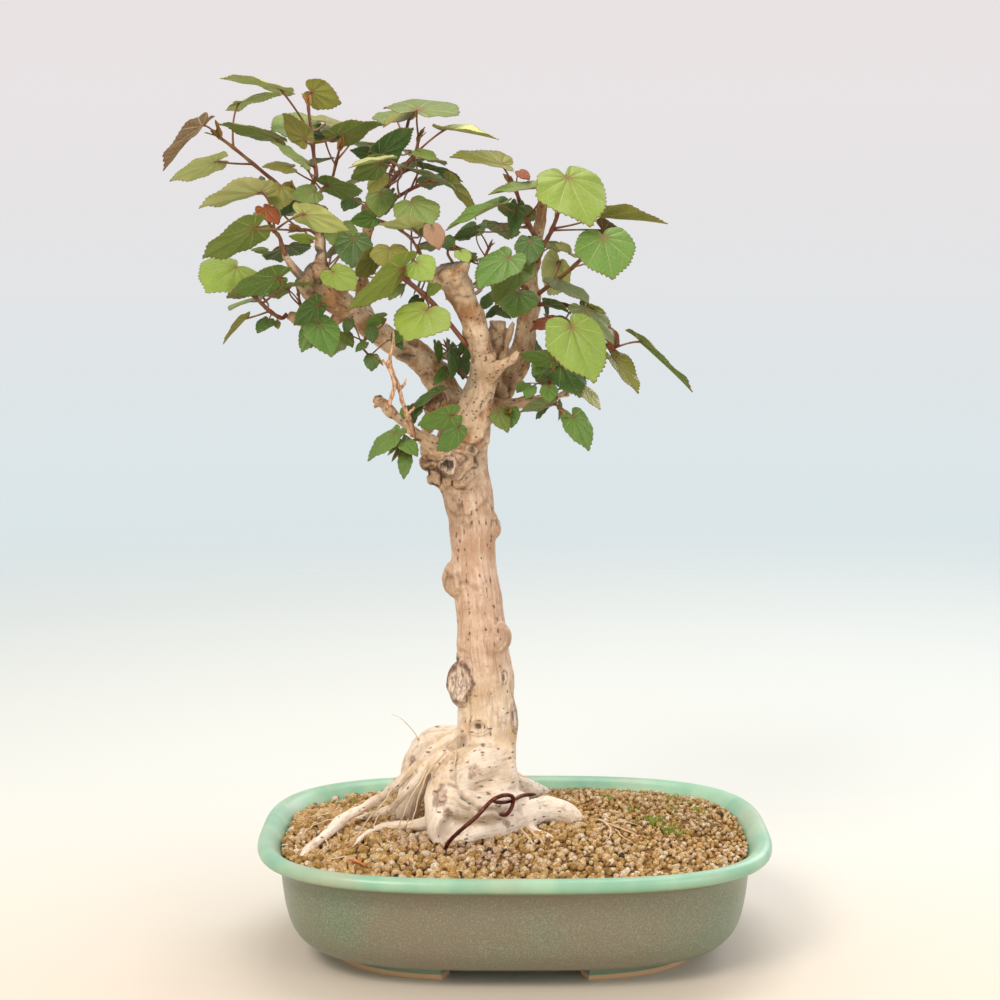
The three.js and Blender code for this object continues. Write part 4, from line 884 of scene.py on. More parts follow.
bark = Finish("pale_bark")
bark_at = bark.place()
bark_grain = bark.stored("grain_place", "Vector")
bark_height = bark.parts_of(bark_at)[2]
streaks = bark.clouds(bark.stretched(bark_grain, (1, 1, 0.09)), 0.0018, 5.0, 0.7)
mottle = bark.clouds(bark_at, 0.018, 5.0, 0.65)
blotch = bark.clouds(bark.stretched(bark_at, (1, 1, 0.6)), 0.006, 4.0, 0.6)
grit = bark.clouds(bark_at, 0.0011, 4.0, 0.75)
# The wood is cream at the roots, pinkish buff up the trunk, and browner in the branches.
bark_colour = bark.blended(bark.between(mottle, 0.36, 0.64), shade("#c49f80"), shade("#dfc0a5"))
paler = bark.between(bark_height, 0.19, 0.135)
cream = bark.blended(bark.between(mottle, 0.36, 0.62), shade("#dcc09a"), shade("#f3e2cb"))
bark_colour = bark.blended(paler, bark_colour, cream)
# Painted light: the lowest wood, near the soil, is whitened further to stand in for light bounced up onto
# it.
bark_colour = bark.tinted(bark_colour, bark.between(bark_height, 0.12, 0.085), 0.55, "#fbf0df")
browner = bark.between(bark_height, 0.25, 0.31)
tanned = bark.blended(bark.between(mottle, 0.4, 0.58), shade("#a0713f"), shade("#dcc09c"))
bark_colour = bark.blended(bark.times(browner, 0.85), bark_colour, tanned)
bark_colour = bark.tinted(bark_colour, bark.between(blotch, 0.52, 0.7), 0.4, "#b08a66")
bark_colour = bark.tinted(bark_colour, bark.between(blotch, 0.45, 0.3), 0.45, "#f0dec4")
along_wood = bark.stored("alone")
streak_share = bark.times(bark.between(streaks, 0.5, 0.68), along_wood)
bark_colour = bark.tinted(bark_colour, streak_share, 0.5, "#9b7353")
fibre_share = bark.times(bark.between(streaks, 0.46, 0.34), along_wood)
bark_colour = bark.tinted(bark_colour, fibre_share, 0.4, "#f7e6d2")
# Brown pores: short dashes along the grain of the trunk, and round specks on the branches.
pore = bark.cells(bark.stretched(bark_grain, (1, 1, 0.45)), 0.0036)
pore_kept = bark.between(bark.parts_of(pore["Color"])[0], 0.5, 0.56)
pores = bark.times(bark.between(pore["Distance"], 0.19, 0.1), pore_kept)
speck = bark.cells(bark.stretched(bark_at, (1, 1, 1.4)), 0.0032)
speck_kept = bark.between(bark.parts_of(speck["Color"])[1], 0.46, 0.56)
specks = bark.times(bark.between(speck["Distance"], 0.29, 0.15), speck_kept)
pores = bark.sum_of("MAXIMUM", pores, bark.times(specks, browner))
# Rows of pores that have run together into broken cracks.
dashes = bark.clouds(bark.stretched(bark_at, (0.3, 0.3, 1)), 0.003, 3.0)
row = bark.between(bark.plus(bark.stored("pore_gap"), bark.times(grit, 0.7)), 0.82, 0.5)
row = bark.times(row, bark.between(dashes, 0.5, 0.56))
pores = bark.sum_of("MAXIMUM", pores, row)
bark_colour = bark.tinted(bark_colour, pores, 0.72, "#55301f")
# Torn flecks of brown cork on the cream roots.
fleck = bark.cells(bark.stretched(bark_at, (1, 1, 2.8)), 0.0078)
fleck_edge = bark.plus(fleck["Distance"], bark.times(grit, 0.3))
fleck_kept = bark.between(bark.parts_of(fleck["Color"])[2], 0.5, 0.6)
flecks = bark.times(bark.between(fleck_edge, 0.35, 0.29), fleck_kept)
flecks = bark.times(flecks, paler)
bark_colour = bark.tinted(bark_colour, flecks, 0.75, "#6b4a3a")
# Cracked burls, healed wounds, saw cuts, and patches where the skin has flaked off.
gnarl = bark.stored("gnarl")
gnarl_tone = bark.blended(bark.between(grit, 0.4, 0.62), shade("#8a6443"), shade("#dcbd93"))
bark_colour = bark.blended(bark.times(gnarl, 0.55), bark_colour, gnarl_tone)
# Painted shade: the low parts of the burls are painted near-black brown.
sunk = bark.times(gnarl, bark.between(bark.stored("swell"), 0.55, 0.1))
bark_colour = bark.tinted(bark_colour, sunk, 0.9, "#3a2417")
torn = bark.clouds(bark_at, 0.0027, 3.0, 0.6)
flake_tone = bark.blended(bark.between(torn, 0.42, 0.62), shade("#866759"), shade("#c4aa98"))
flaked = bark.times(bark.stored("peeled"), bark.between(torn, 0.3, 0.42))
bark_colour = bark.blended(bark.times(flaked, 0.8), bark_colour, flake_tone)
# Painted shade in the splits, wrinkles, clefts and creases, and the flaked edges' own dark colour.
bark_colour = bark.blended(bark.sum_of("MINIMUM", bark.stored("dark"), 1.0), bark_colour, shade("#4b2f20"))
wound_gap = bark.stored("wound_gap")
old_wood = bark.clouds(bark.stretched(bark_at, (1, 1, 0.25)), 0.0017, 4.0, 0.7)
bare_wood = bark.blended(bark.between(old_wood, 0.38, 0.6), shade("#8d7462"), shade("#ecd9c2"))
inside_rim = bark.times(bark.between(wound_gap, 0.86, 0.74), bark.stored("wound_rim"))
bark_colour = bark.blended(inside_rim, bark_colour, bare_wood)
rim_wood = bark.blended(bark.between(old_wood, 0.42, 0.62), shade("#4a2f24"), shade("#a88772"))
off_rim = bark.sum_of("ABSOLUTE", bark.less(wound_gap, 0.93))
on_rim = bark.times(bark.between(off_rim, 0.24, 0.1), bark.stored("wound_rim"))
on_rim = bark.times(on_rim, bark.between(blotch, 0.36, 0.52))
bark_colour = bark.blended(on_rim, bark_colour, rim_wood)
pit_edge = bark.plus(wound_gap, bark.times(old_wood, 0.35))
in_pit = bark.times(bark.between(pit_edge, 0.7, 0.56), bark.stored("wound_pit"))
rings = bark.sum_of("ABSOLUTE", bark.less(bark.sum_of("FLOORED_MODULO", wound_gap, 0.34), 0.17))
rings = bark.times(bark.between(rings, 0.045, 0.015), bark.between(wound_gap, 1.5, 1.2))
rings = bark.times(rings, bark.between(mottle, 0.44, 0.54))
bark_colour = bark.tinted(bark_colour, rings, 0.6, "#75523a")
bark_colour = bark.blended(in_pit, bark_colour, shade("#2f1e14"))
cut_tone = bark.blended(bark.between(grit, 0.35, 0.65), (0.5, 0.48, 0.45), (1.1, 1.1, 1.1))
cut_tone = bark.blended(1.0, bark.stored("cut_colour", "Color"), cut_tone, "MULTIPLY")
bark_colour = bark.blended(bark.stored("cut_share"), bark_colour, cut_tone)
bark_colour = bark.tinted(bark_colour, bark.between(grit, 0.54, 0.76), 0.4, "#86654a")
skin_relief = bark.relief(bark.times(streaks, along_wood), 0.0009)
skin_relief = bark.relief(grit, 0.0005, skin_relief)
marks = bark.sum_of("MAXIMUM", pores, flecks)
skin_relief = bark.relief(bark.less(1.0, marks), 0.0005, skin_relief)
bark_finish = bark.surface(Base_Color=bark_colour, Roughness=0.82, Normal=skin_relief)
piece_of(wood_mesh, [bark_finish], "bark", ["trunk"])

# Soil
# Coarse bonsai grit fills the pot to just under the lip and is mounded round the roots: baked
# ochre clay, white pumice and a little dark lava. A bed of crumbs lies under the loose grains.
SOIL_EDGE = 53.5
SOIL_MOUND = 10
BED_SINK = 1.4
SOIL_SIDE = [(42, 0.6), (36.8, 2.4), (31, 6.8), (25.3, 15), (21.3, 27.5), (19.2, 39), (16.4, 48)]
SOIL_INSET = 14.4
DOME_INSET = 18
GRAIN_INSET = 12.8
# The surface swells at the back right: height, middle in x and y, and reach in x and y.
SWELL_HEIGHT = 4.5
SWELL_X, SWELL_Y = 60, 50
SWELL_LENGTH, SWELL_WIDTH = 60, 32


def soil_height(x, y):
    near_edge = np.hypot(x / (POT_LENGTH_HALF - DOME_INSET), y / (POT_WIDTH_HALF - DOME_INSET))
    dome = SOIL_MOUND * np.clip(1 - near_edge**2, 0, None)
    swell_x, swell_y = (x - SWELL_X) / SWELL_LENGTH, (y - SWELL_Y) / SWELL_WIDTH
    return SOIL_EDGE + dome + SWELL_HEIGHT * np.exp(-(swell_x**2) - swell_y**2)


def soil_bed():
    sides = 160
    points = []
    for inset, height in SOIL_SIDE:
        ring = squared_ring(POT_LENGTH_HALF - inset, POT_WIDTH_HALF - inset, RIM_SQUARENESS, sides)
        points.append(np.column_stack([ring, np.full(sides, height)]))
    edge = squared_ring(POT_LENGTH_HALF - SOIL_INSET, POT_WIDTH_HALF - SOIL_INSET, RIM_SQUARENESS, sides)
    for reach in np.linspace(1, 0.02, 54):
        ring = edge * reach
        crumbs = roughness_at(np.column_stack([ring, np.zeros(sides)]), 3.2, 11)
        height = soil_height(ring[:, 0], ring[:, 1]) - BED_SINK + 0.7 * crumbs
        points.append(np.column_stack([ring, height]))
    return mesh_of("soil_bed", np.vstack(points), skin_faces(len(points), sides))


def crumbly(name, dark, light):
    """The dull, open-pored finish of baked clay, pumice or lava, tinted grain by grain."""
    look = Finish(name)
    at = look.place()
    dust = look.clouds(at, 0.0012, 4.0, 0.7)
    holes = look.cells(at, 0.0009)["Distance"]
    tint = look.stored("grain_colour", "Color")
    colour = look.blended(look.between(dust, 0.35, 0.7), look.blended(1.0, tint, dark, "MULTIPLY"), tint)
    colour = look.blended(look.times(look.between(dust, 0.58, 0.8), 0.5), colour, light)
    bumps = look.relief(holes, 0.0004)
    return look.surface(Base_Color=colour, Roughness=0.92, Normal=look.relief(dust, 0.0005, bumps))


bed_mesh = turned_out(soil_bed())
store(bed_mesh, "grain_colour", np.tile(shade("#a27c44"), (len(bed_mesh.vertices), 1)))
bed_mesh.shade_smooth()
clay_finish = crumbly("baked_clay", shade("#b59a72"), shade("#dcbf86"))
piece_of(bed_mesh, [clay_finish], "soil", ["soil"])

# Grains below this radius in millimetres are shaped with fewer faces.
PLAIN_GRAIN = 1.6
# Rows of grains lie this far apart against the gap in a row, as close-packed balls do.
ROW_SPACING = 0.866


def round_pebble(rounds):
    """Points and faces of one smooth round pebble."""
    ball = bmesh.new()
    bmesh.ops.create_icosphere(ball, subdivisions=rounds, radius=1)
    points = np.array([v.co for v in ball.verts])
    faces = np.array([[v.index for v in face.verts] for face in ball.faces])
    ball.free()
    return points, faces


def off_centre(x, y, half_length, half_width):
    """0 at the middle of a squared oval like the rim, 1 on its edge and more outside it."""
    return np.abs(x / half_length) ** RIM_SQUARENESS + np.abs(y / half_width) ** RIM_SQUARENESS


def clear_of_wood(places, radius):
    """False for grains that would lie inside a root."""
    clear = np.ones(len(places), bool)
    for limb in [TRUNK, *ROOTS.values()]:
        route = smooth_route(limb, 2)
        for centre in route:
            clear &= np.linalg.norm(places - centre[:3], axis=1) > centre[3] - 0.25 * radius
    return clear


def scattered_grains(seed, gap, small, large, sunk, keep):
    """Places and sizes for grains spread over the soil: centres, radii and a random number each."""
    draw = np.random.default_rng(seed)
    xs = np.arange(-POT_LENGTH_HALF, POT_LENGTH_HALF, gap)
    ys = np.arange(-POT_WIDTH_HALF, POT_WIDTH_HALF, gap * ROW_SPACING)
    grid = [(x + gap / 2 * (j % 2), y) for j, y in enumerate(ys) for x in xs]
    flat = np.array(grid) + draw.uniform(-0.38, 0.38, (len(grid), 2)) * gap
    size = draw.uniform(0, 1, len(flat)) ** 1.4
    # The grit is coarser at the front left and finer at the back right.
    coarse = np.clip(0.62 - 0.0035 * flat[:, 0] - 0.003 * flat[:, 1], 0.25, 1)
    radius = small + (large - small) * size * coarse
    inset = GRAIN_INSET + radius
    reach_x, reach_y = POT_LENGTH_HALF - inset, POT_WIDTH_HALF - inset
    inside = off_centre(flat[:, 0], flat[:, 1], reach_x, reach_y) < 1
    inside &= draw.uniform(0, 1, len(flat)) < keep
    flat, radius = flat[inside], radius[inside]
    height = soil_height(flat[:, 0], flat[:, 1]) + radius * draw.uniform(-sunk, 0.35, len(flat))
    places = np.column_stack([flat, height])
    kept = clear_of_wood(places, radius)
    return places[kept], radius[kept], draw.uniform(0, 1, kept.sum())


def grain_mesh(name, places, radii, colours, seed, lumpy):
    """All the grains of one kind as one mesh of small, closed, uneven pebbles."""
    draw = np.random.default_rng(seed)
    count = len(places)
    turn = draw.normal(size=(count, 4))
    turn /= np.linalg.norm(turn, axis=1)[:, None]
    w, x, y, z = turn.T
    rotation = np.array([
        [1 - 2 * (y * y + z * z), 2 * (x * y - z * w), 2 * (x * z + y * w)],
        [2 * (x * y + z * w), 1 - 2 * (x * x + z * z), 2 * (y * z - x * w)],
        [2 * (x * z - y * w), 2 * (y * z + x * w), 1 - 2 * (x * x + y * y)],
    ]).transpose(2, 0, 1)
    stretch = draw.uniform(0.78, 1.18, (count, 1, 3))
    offsets = draw.uniform(0, 400, (count, 1, 3))
    points, faces, tints, used = [], [], [], 0
    for rounds, group in ((2, radii >= PLAIN_GRAIN), (1, radii < PLAIN_GRAIN)):
        skin, sides = round_pebble(rounds)
        ball = skin[None] + offsets[group]
        bumps = roughness_at(ball.reshape(-1, 3), 0.75, seed).reshape(len(ball), -1, 1)
        shape = skin[None] * (1 + lumpy * bumps) * stretch[group]
        turned = np.einsum("nij,nkj->nki", rotation[group], shape)
        points.append((turned * radii[group][:, None, None] + places[group][:, None]).reshape(-1, 3))
        starts = used + np.arange(len(ball)) * len(skin)
        faces += (sides[None] + starts[:, None, None]).reshape(-1, 3).tolist()
        tints.append(np.repeat(colours[group], len(skin), axis=0))
        used += len(ball) * len(skin)
    mesh = mesh_of(name, np.vstack(points), faces)
    store(mesh, "grain_colour", np.vstack(tints))
    mesh.shade_smooth()
    return mesh


def picked(codes, pick):
    """One of a few colours for each grain, with a little of the next one mixed in."""
    palette = np.array([shade(code) for code in codes])
    place = pick * (len(codes) - 1)
    low = np.floor(place).astype(int)
    high = np.minimum(low + 1, len(codes) - 1)
    return palette[low] + (palette[high] - palette[low]) * (place - low)[:, None]


def spots_at(places, spots):
    """How far each grain belongs to any of the patches, given as x, y and radius."""
    share = np.zeros(len(places))
    for x, y, radius in spots:
        share = np.maximum(share, np.exp(-(((places[:, :2] - (x, y)) / radius) ** 2).sum(axis=1)))
    return share


# A clump of greyish grit at the front, and where the surface is brown and damp behind.
GREY_PATCH = [(-31, -54, 12), (-12, -66, 14), (4, -72, 12), (-60, -34, 12)]
DAMP_PATCH = [(80, 60, 45), (30, 75, 35), (110, 10, 25), (-60, 50, 30)]

clay_places, clay_radii, clay_pick = scattered_grains(21, 3.6, 1.3, 3.0, 0.35, 0.8)
grey_share = spots_at(clay_places, GREY_PATCH)
damp_share = spots_at(clay_places, DAMP_PATCH)
clay_colours = picked(["#a6854b", "#bf9e5e", "#d3b272", "#e2c58a", "#efd9ac", "#d2ab7c"], clay_pick)
clay_colours *= (1 - 0.2 * damp_share)[:, None]
grey_mix = (grey_share * (clay_pick > 0.35))[:, None]
clay_colours = clay_colours * (1 - grey_mix) + np.array(shade("#dbc6b4")) * grey_mix
clay_mesh = grain_mesh("clay_grains", clay_places, clay_radii, clay_colours, 22, 0.2)
piece_of(clay_mesh, [clay_finish], "soil")

pumice_places, pumice_radii, pumice_pick = scattered_grains(31, 4.6, 1.3, 2.9, 0.1, 0.3)
pumice_colours = picked(["#cdb796", "#decaaa", "#ebdcc4", "#f2e8d4"], pumice_pick)
pumice_colours *= (1 - 0.17 * spots_at(pumice_places, DAMP_PATCH))[:, None]
pumice_mesh = grain_mesh("pumice_grains", pumice_places, pumice_radii, pumice_colours, 32, 0.26)
pumice_finish = crumbly("white_pumice", shade("#c9bba6"), shade("#f1e9da"))
piece_of(pumice_mesh, [pumice_finish], "soil")

lava_places, lava_radii, lava_pick = scattered_grains(41, 6.2, 1.2, 2.6, 0.15, 0.2)
near_grey = spots_at(lava_places, GREY_PATCH)
lava_kept = (lava_pick < 0.25) | (near_grey > 0.3)
lava_colours = picked(["#3d342f", "#54473f", "#6b5a4c"], lava_pick)[lava_kept]
lava_mesh = grain_mesh("lava_grains", lava_places[lava_kept], lava_radii[lava_kept], lava_colours, 42, 0.3)
lava_finish = crumbly("dark_lava", shade("#8f857c"), shade("#8d8072"))
piece_of(lava_mesh, [lava_finish], "soil")

# Tie wire
# A hook of thick brown anodised aluminium, pushed into the soil in front and bent over the root
# base to hold it down. Its curled end lies on the front root, and a second turn runs on behind.
WIRE_RADIUS = 1.2
HOOK = [
    (-41, -52, 56), (-38, -54, 64), (-32, -56, 71), (-22, -57, 80), (-14, -54, 88), (-8, -49, 90),
    (-3, -44, 89), (-1, -41, 86), (-2, -41, 81), (-5, -45, 78), (-9, -48, 79),
]
BEHIND = [(-12, -51, 87), (-6, -44, 85), (0, -34, 84), (5, -26, 84), (12, -20, 83)]


def wire_points(route, radius, sides=12):
    """A round wire along a smooth route, with both ends drawn in."""
    smooth = smooth_route(route, 5)
    thick = np.full(len(smooth), radius)
    thick[0] = thick[-1] = radius * 0.55
    thick[1] = thick[-2] = radius * 0.9
    points, _ = tube_points(np.column_stack([smooth, thick]), sides)
    return points, skin_faces(len(smooth), sides)


def joined(parts):
    """Several sets of points and faces as one."""
    points, faces, count = [], [], 0
    for some_points, some_faces in parts:
        points.append(some_points)
        faces += [tuple(v + count for v in face) for face in some_faces]
        count += len(some_points)
    return np.vstack(points), faces


wire_mesh = mesh_of("tie_wire", *joined([wire_points(HOOK, WIRE_RADIUS), wire_points(BEHIND, WIRE_RADIUS)]))
wire_mesh.shade_smooth()
wire_look = Finish("brown_anodised_wire")
wire_wear = wire_look.clouds(wire_look.place(), 0.0025, 3.0)
wire_finish = wire_look.surface(
    Base_Color=wire_look.blended(wire_look.between(wire_wear, 0.4, 0.7), shade("#4d221b"), shade("#7d4136")),
    Metallic=0.75,
    Roughness=wire_look.plus(wire_look.times(wire_wear, 0.25), 0.2),
    Normal=wire_look.relief(wire_wear, 0.00005),
)
piece_of(wire_mesh, [wire_finish], "wire", ["wire"])

# Root hairs
# Fine pale rootlets that left the thick roots above the soil and dried on its surface, and a few
# that stand out in the air. Each is a route, with its thickness at the start.
ROOT_HAIRS = [
    (0.8, [(-87, 8, 63), (-97, 22, 60), (-106, 30, 58), (-116, 24, 58), (-126, 26, 56)]),
    (0.7, [(-88, 2, 62), (-104, 8, 60), (-114, 6, 59), (-122, -6, 58), (-126, -22, 56)]),
    (0.7, [(-62, -18, 68), (-64, -20, 64), (-68, -24, 63), (-74, -28, 61)]),
    (0.6, [(-80, -8, 68), (-82, -14, 64), (-84, -22, 61)]),
    (0.6, [(-84, -20, 62), (-91, -28, 61), (-99, -40, 58)]),
    (1.1, [(0, -22, 66), (5, -32, 64), (9, -45, 62), (11, -52, 60)]),
    (0.9, [(4, -20, 66), (10, -32, 64), (15, -44, 62), (19, -54, 60)]),
    (0.6, [(-104, -62, 57), (-98, -57, 57), (-92, -58, 57), (-88, -62, 56)]),
    (0.7, [(49, -6, 64), (59, -18, 63), (67, -26, 62), (73, -29, 61)]),
    (0.6, [(53, -12, 64), (56, -26, 63), (53, -40, 61), (50, -47, 61)]),
    (0.5, [(57, -15, 64), (65, -8, 63), (74, -13, 62)]),
    (0.5, [(59, -23, 63), (62, -34, 62), (69, -44, 60)]),
    (0.35, [(-57, 8, 108), (-60, 8, 113), (-65, 7, 120), (-69, 7, 123), (-73, 8, 124)]),
    (0.35, [(-2, 2, 93), (4, 1, 89), (11, 0, 88), (15, -1, 89)]),
    (0.8, [(-49, -34, 106), (-54, -37, 95), (-60, -38, 86), (-64, -38, 76), (-68, -36, 66)]),
    (0.8, [(-40, -32, 111), (-47, -35, 104), (-52, -38, 96), (-56, -40, 84), (-60, -42, 68)]),
    (0.7, [(-34, -31, 113), (-35, -39, 104), (-35, -40, 97), (-32, -40, 92), (-28, -41, 88)]),
    (0.7, [(-70, -20, 87), (-77, -22, 78), (-86, -24, 68), (-90, -30, 61)]),
    (0.6, [(-99, -10, 66), (-103, -18, 61), (-102, -30, 59)]),
    (0.6, [(-110, -26, 60), (-108, -38, 58), (-113, -48, 56)]),
]

hair_parts = []
for hair, (start_radius, hair_route) in enumerate(ROOT_HAIRS):
    smooth_hair = smooth_route(hair_route, 6)
    kinks = np.column_stack([roughness_at(smooth_hair, 4.0, 50 + hair * 3 + k) for k in range(3)])
    taper = np.linspace(start_radius, start_radius * 0.35, len(smooth_hair))
    bent = np.column_stack([smooth_hair + 0.7 * kinks, taper])
    hair_parts.append((tube_points(bent, 6)[0], skin_faces(len(bent), 6)))
hair_mesh = mesh_of("root_hairs", *joined(hair_parts))
hair_mesh.shade_smooth()
hair_look = Finish("dry_rootlet")
hair_dust = hair_look.clouds(hair_look.place(), 0.003, 3.0)
hair_finish = hair_look.surface(
    Base_Color=hair_look.blended(hair_dust, shade("#b58f68"), shade("#e8d4b4")),
    Roughness=0.8,
    Normal=hair_look.relief(hair_dust, 0.0002),
)
piece_of(hair_mesh, [hair_finish], "bark")

# Dry twig
# A dead side twig that stands up from the lower left branch, knuckled where its leaves sat, with a
# second strand that leans against it. It dried and lost its bark, and is pinkish tan.
TWIG_STRANDS = [
    [
        (-58, -28, 294, 2.0), (-60, -33, 303, 1.6), (-63, -38, 313, 1.3), (-65, -40, 321, 1.4),
        (-68, -42, 329, 1.1), (-70.5, -43, 334, 1.8), (-69.5, -44, 340, 1.0), (-67.5, -44, 348, 0.9),
        (-68, -44, 354, 0.6),
    ],
    [(-72, -40, 310, 1.7), (-69, -42, 317, 1.2), (-67.5, -43, 324, 1.3), (-69.5, -43, 332, 1.0)],
    [(-61, -34, 306, 1.2), (-58, -36, 309, 0.9), (-57, -36, 311, 0.6)],
    [(-70, -43, 334, 1.2), (-73, -44, 336, 0.8), (-74, -44, 338, 0.5)],
    [(-65, -40, 321, 1.1), (-62, -41, 324, 0.8), (-61, -41, 327, 0.5)],
    [(-72, -40, 310, 1.5), (-76, -40, 312, 1.1), (-79, -41, 311, 0.8)],
]

twig_parts = []
for strand, twig_route in enumerate(TWIG_STRANDS):
    smooth_twig = smooth_route(twig_route, 7)
    knuckles = roughness_at(smooth_twig[:, :3], 2.6, 90 + strand)
    bends = np.column_stack([roughness_at(smooth_twig[:, :3], 3.2, 95 + k) for k in range(3)])
    smooth_twig[:, :3] += 0.35 * bends
    smooth_twig[:, 3] *= 1 + 0.22 * knuckles
    twig_parts.append((tube_points(smooth_twig, 12)[0], skin_faces(len(smooth_twig), 12)))
twig_mesh = mesh_of("dry_twig", *joined(twig_parts))
twig_mesh.shade_smooth()
twig_look = Finish("bare_twig")
twig_at = twig_look.place()
twig_grain = twig_look.clouds(twig_look.stretched(twig_at, (1, 1, 0.3)), 0.0012, 4.0, 0.7)
twig_tone = twig_look.between(twig_grain, 0.38, 0.62)
twig_finish = twig_look.surface(
    Base_Color=twig_look.blended(twig_tone, shade("#9c6a46"), shade("#e3bd98")),
    Roughness=0.75,
    Normal=twig_look.relief(twig_grain, 0.0004),
)
piece_of(twig_mesh, [twig_finish], "bark")

# Fallen stalk
# An old leaf stalk, soft once and now dried orange-red, that dropped from the crown. It lies
# loose on the grit at the front left.
FALLEN_STALK = [(-94, -66, 58, 0.5), (-91, -69, 58.4, 0.75), (-87, -72, 58, 0.7), (-84, -74, 57, 0.5)]

fallen_route = smooth_route(FALLEN_STALK, 6)
fallen_mesh = mesh_of("fallen_stalk", tube_points(fallen_route, 10)[0], skin_faces(len(fallen_route), 10))
fallen_mesh.shade_smooth()
fallen_look = Finish("dry_orange_stalk")
fallen_grain = fallen_look.clouds(fallen_look.place(), 0.0012, 3.0)
fallen_finish = fallen_look.surface(
    Base_Color=fallen_look.blended(fallen_grain, shade("#a9481c"), shade("#e08a4c")),
    Roughness=0.6,
    Normal=fallen_look.relief(fallen_grain, 0.0002),
)
piece_of(fallen_mesh, [fallen_finish], "foliage")

# Moss
# Small cushions of bright moss on the damp grit at the back and the right, each made of short
# pointed leaflets that stand up out of the grains.
MOSS = [
    (84, 3, 8, 170), (91, -13, 7, 140), (70, 20, 5, 40), (-112, 62, 7, 80), (-104, 70, 6, 50),
    (40, 84, 10, 110), (75, 78, 10, 100), (100, 62, 9, 80), (15, 80, 6, 50), (58, 40, 5, 40),
    (-70, 20, 5, 50), (-86, 30, 5, 40), (112, 36, 6, 50), (96, 30, 4, 30),
]
# Moss stays inside a squared oval of these half sizes, so that none hangs over the lip.
MOSS_HALF_LENGTH = 127
MOSS_HALF_WIDTH = 90


def moss_tufts(seed):
    draw = np.random.default_rng(seed)
    points, faces = [], []
    for x, y, spread, count in MOSS:
        for _ in range(count):
            at_x, at_y = draw.normal((x, y), spread * 0.5)
            if off_centre(at_x, at_y, MOSS_HALF_LENGTH, MOSS_HALF_WIDTH) > 1:
                continue
            ground = float(soil_height(at_x, at_y)) + 0.6
            height, lean = draw.uniform(1.2, 2.6), draw.normal(0, 0.9, 2)
            turn = draw.uniform(0, 2 * math.pi)
            first = len(points)
            for k in range(3):
                angle = turn + k * 2 * math.pi / 3
                points.append((at_x + 0.45 * math.cos(angle), at_y + 0.45 * math.sin(angle), ground - 1))
            points.append((at_x + lean[0], at_y + lean[1], ground + height))
            faces += [(first, first + 1, first + 3), (first + 1, first + 2, first + 3)]
            faces += [(first + 2, first, first + 3), (first + 2, first + 1, first)]
    return np.array(points), faces


moss_mesh = turned_out(mesh_of("moss", *moss_tufts(61)))
moss_look = Finish("moss_green")
moss_tone = moss_look.between(moss_look.clouds(moss_look.place(), 0.006, 3.0), 0.35, 0.7)
moss_finish = moss_look.surface(
    Base_Color=moss_look.blended(moss_tone, shade("#6a7a28"), shade("#a3ae44")),
    Roughness=0.8,
)
piece_of(moss_mesh, [moss_finish], "foliage")

# Leafy shoots
# Each shoot is a thin red-brown stem with heart-shaped leaves on bowed stalks, and a bud at its
# tip. The blades are limp, scalloped along the margin, and marked by veins that fan from the foot.

# The blade's outline from its tip round to the notch at its foot: degrees from the midrib, reach.
LEAF_OUTLINE = [
    (0, 1.0), (4, 0.955), (9, 0.9), (15, 0.865), (22, 0.825), (30, 0.785), (40, 0.725), (50, 0.685),
    (60, 0.668), (70, 0.64), (80, 0.575), (90, 0.52), (100, 0.485), (112, 0.455), (125, 0.4),
    (140, 0.32), (155, 0.22), (170, 0.1), (180, 0.035),
]
OUTLINE_WIDTH = 1.12
FOLDED_BELOW = 0.8
VEIN_SPREAD = 0.6
BLADE_HALF = 0.3
MARGIN_HALF = 0.14
TOOTH_DEPTH = 0.026
QUILT_DEPTH = 0.016
WAVE_DEPTH = 0.022
LIMPNESS = 0.03
STALK_RADIUS = 0.62
# The stalk's thickness from the blade to the stem, against STALK_RADIUS.
STALK_SHAPE = np.array([0.3, 1.15, 1.1, 1, 0.95, 0.92, 0.9, 0.9, 0.92, 0.95, 1, 1.1, 1.35])
# Leaves at least this long get a fine mesh or a middling one, and shorter ones a coarse one.
LARGE_LEAF = 24
SMALL_LEAF = 14.5
BUD_NECK = 3
BUD_LENGTH = 5.5

# Leaf colours on the side that is seen, and on the side that is turned away.
LEAF_COLOURS = {
    "pale": ("#cbd188", "#aeb972"),
    "light": ("#d6d886", "#aab268"),
    "lime": ("#96af42", "#8ea44c"),
    "green": ("#648d33", "#929b58"),
    "mid": ("#778c3a", "#929b58"),
    "dark": ("#4b702e", "#7f8a4a"),
    "olive": ("#92903c", "#6a8438"),
    "bronze": ("#6d5228", "#7a6a34"),
    "orange": ("#964216", "#8f6f30"),
    "pink": ("#b08564", "#929b58"),
    "teal": ("#648748", "#7c8c54"),
    "grey": ("#76854c", "#8b975c"),
    "bud": ("#c08a3e", "#a9a04a"),
}

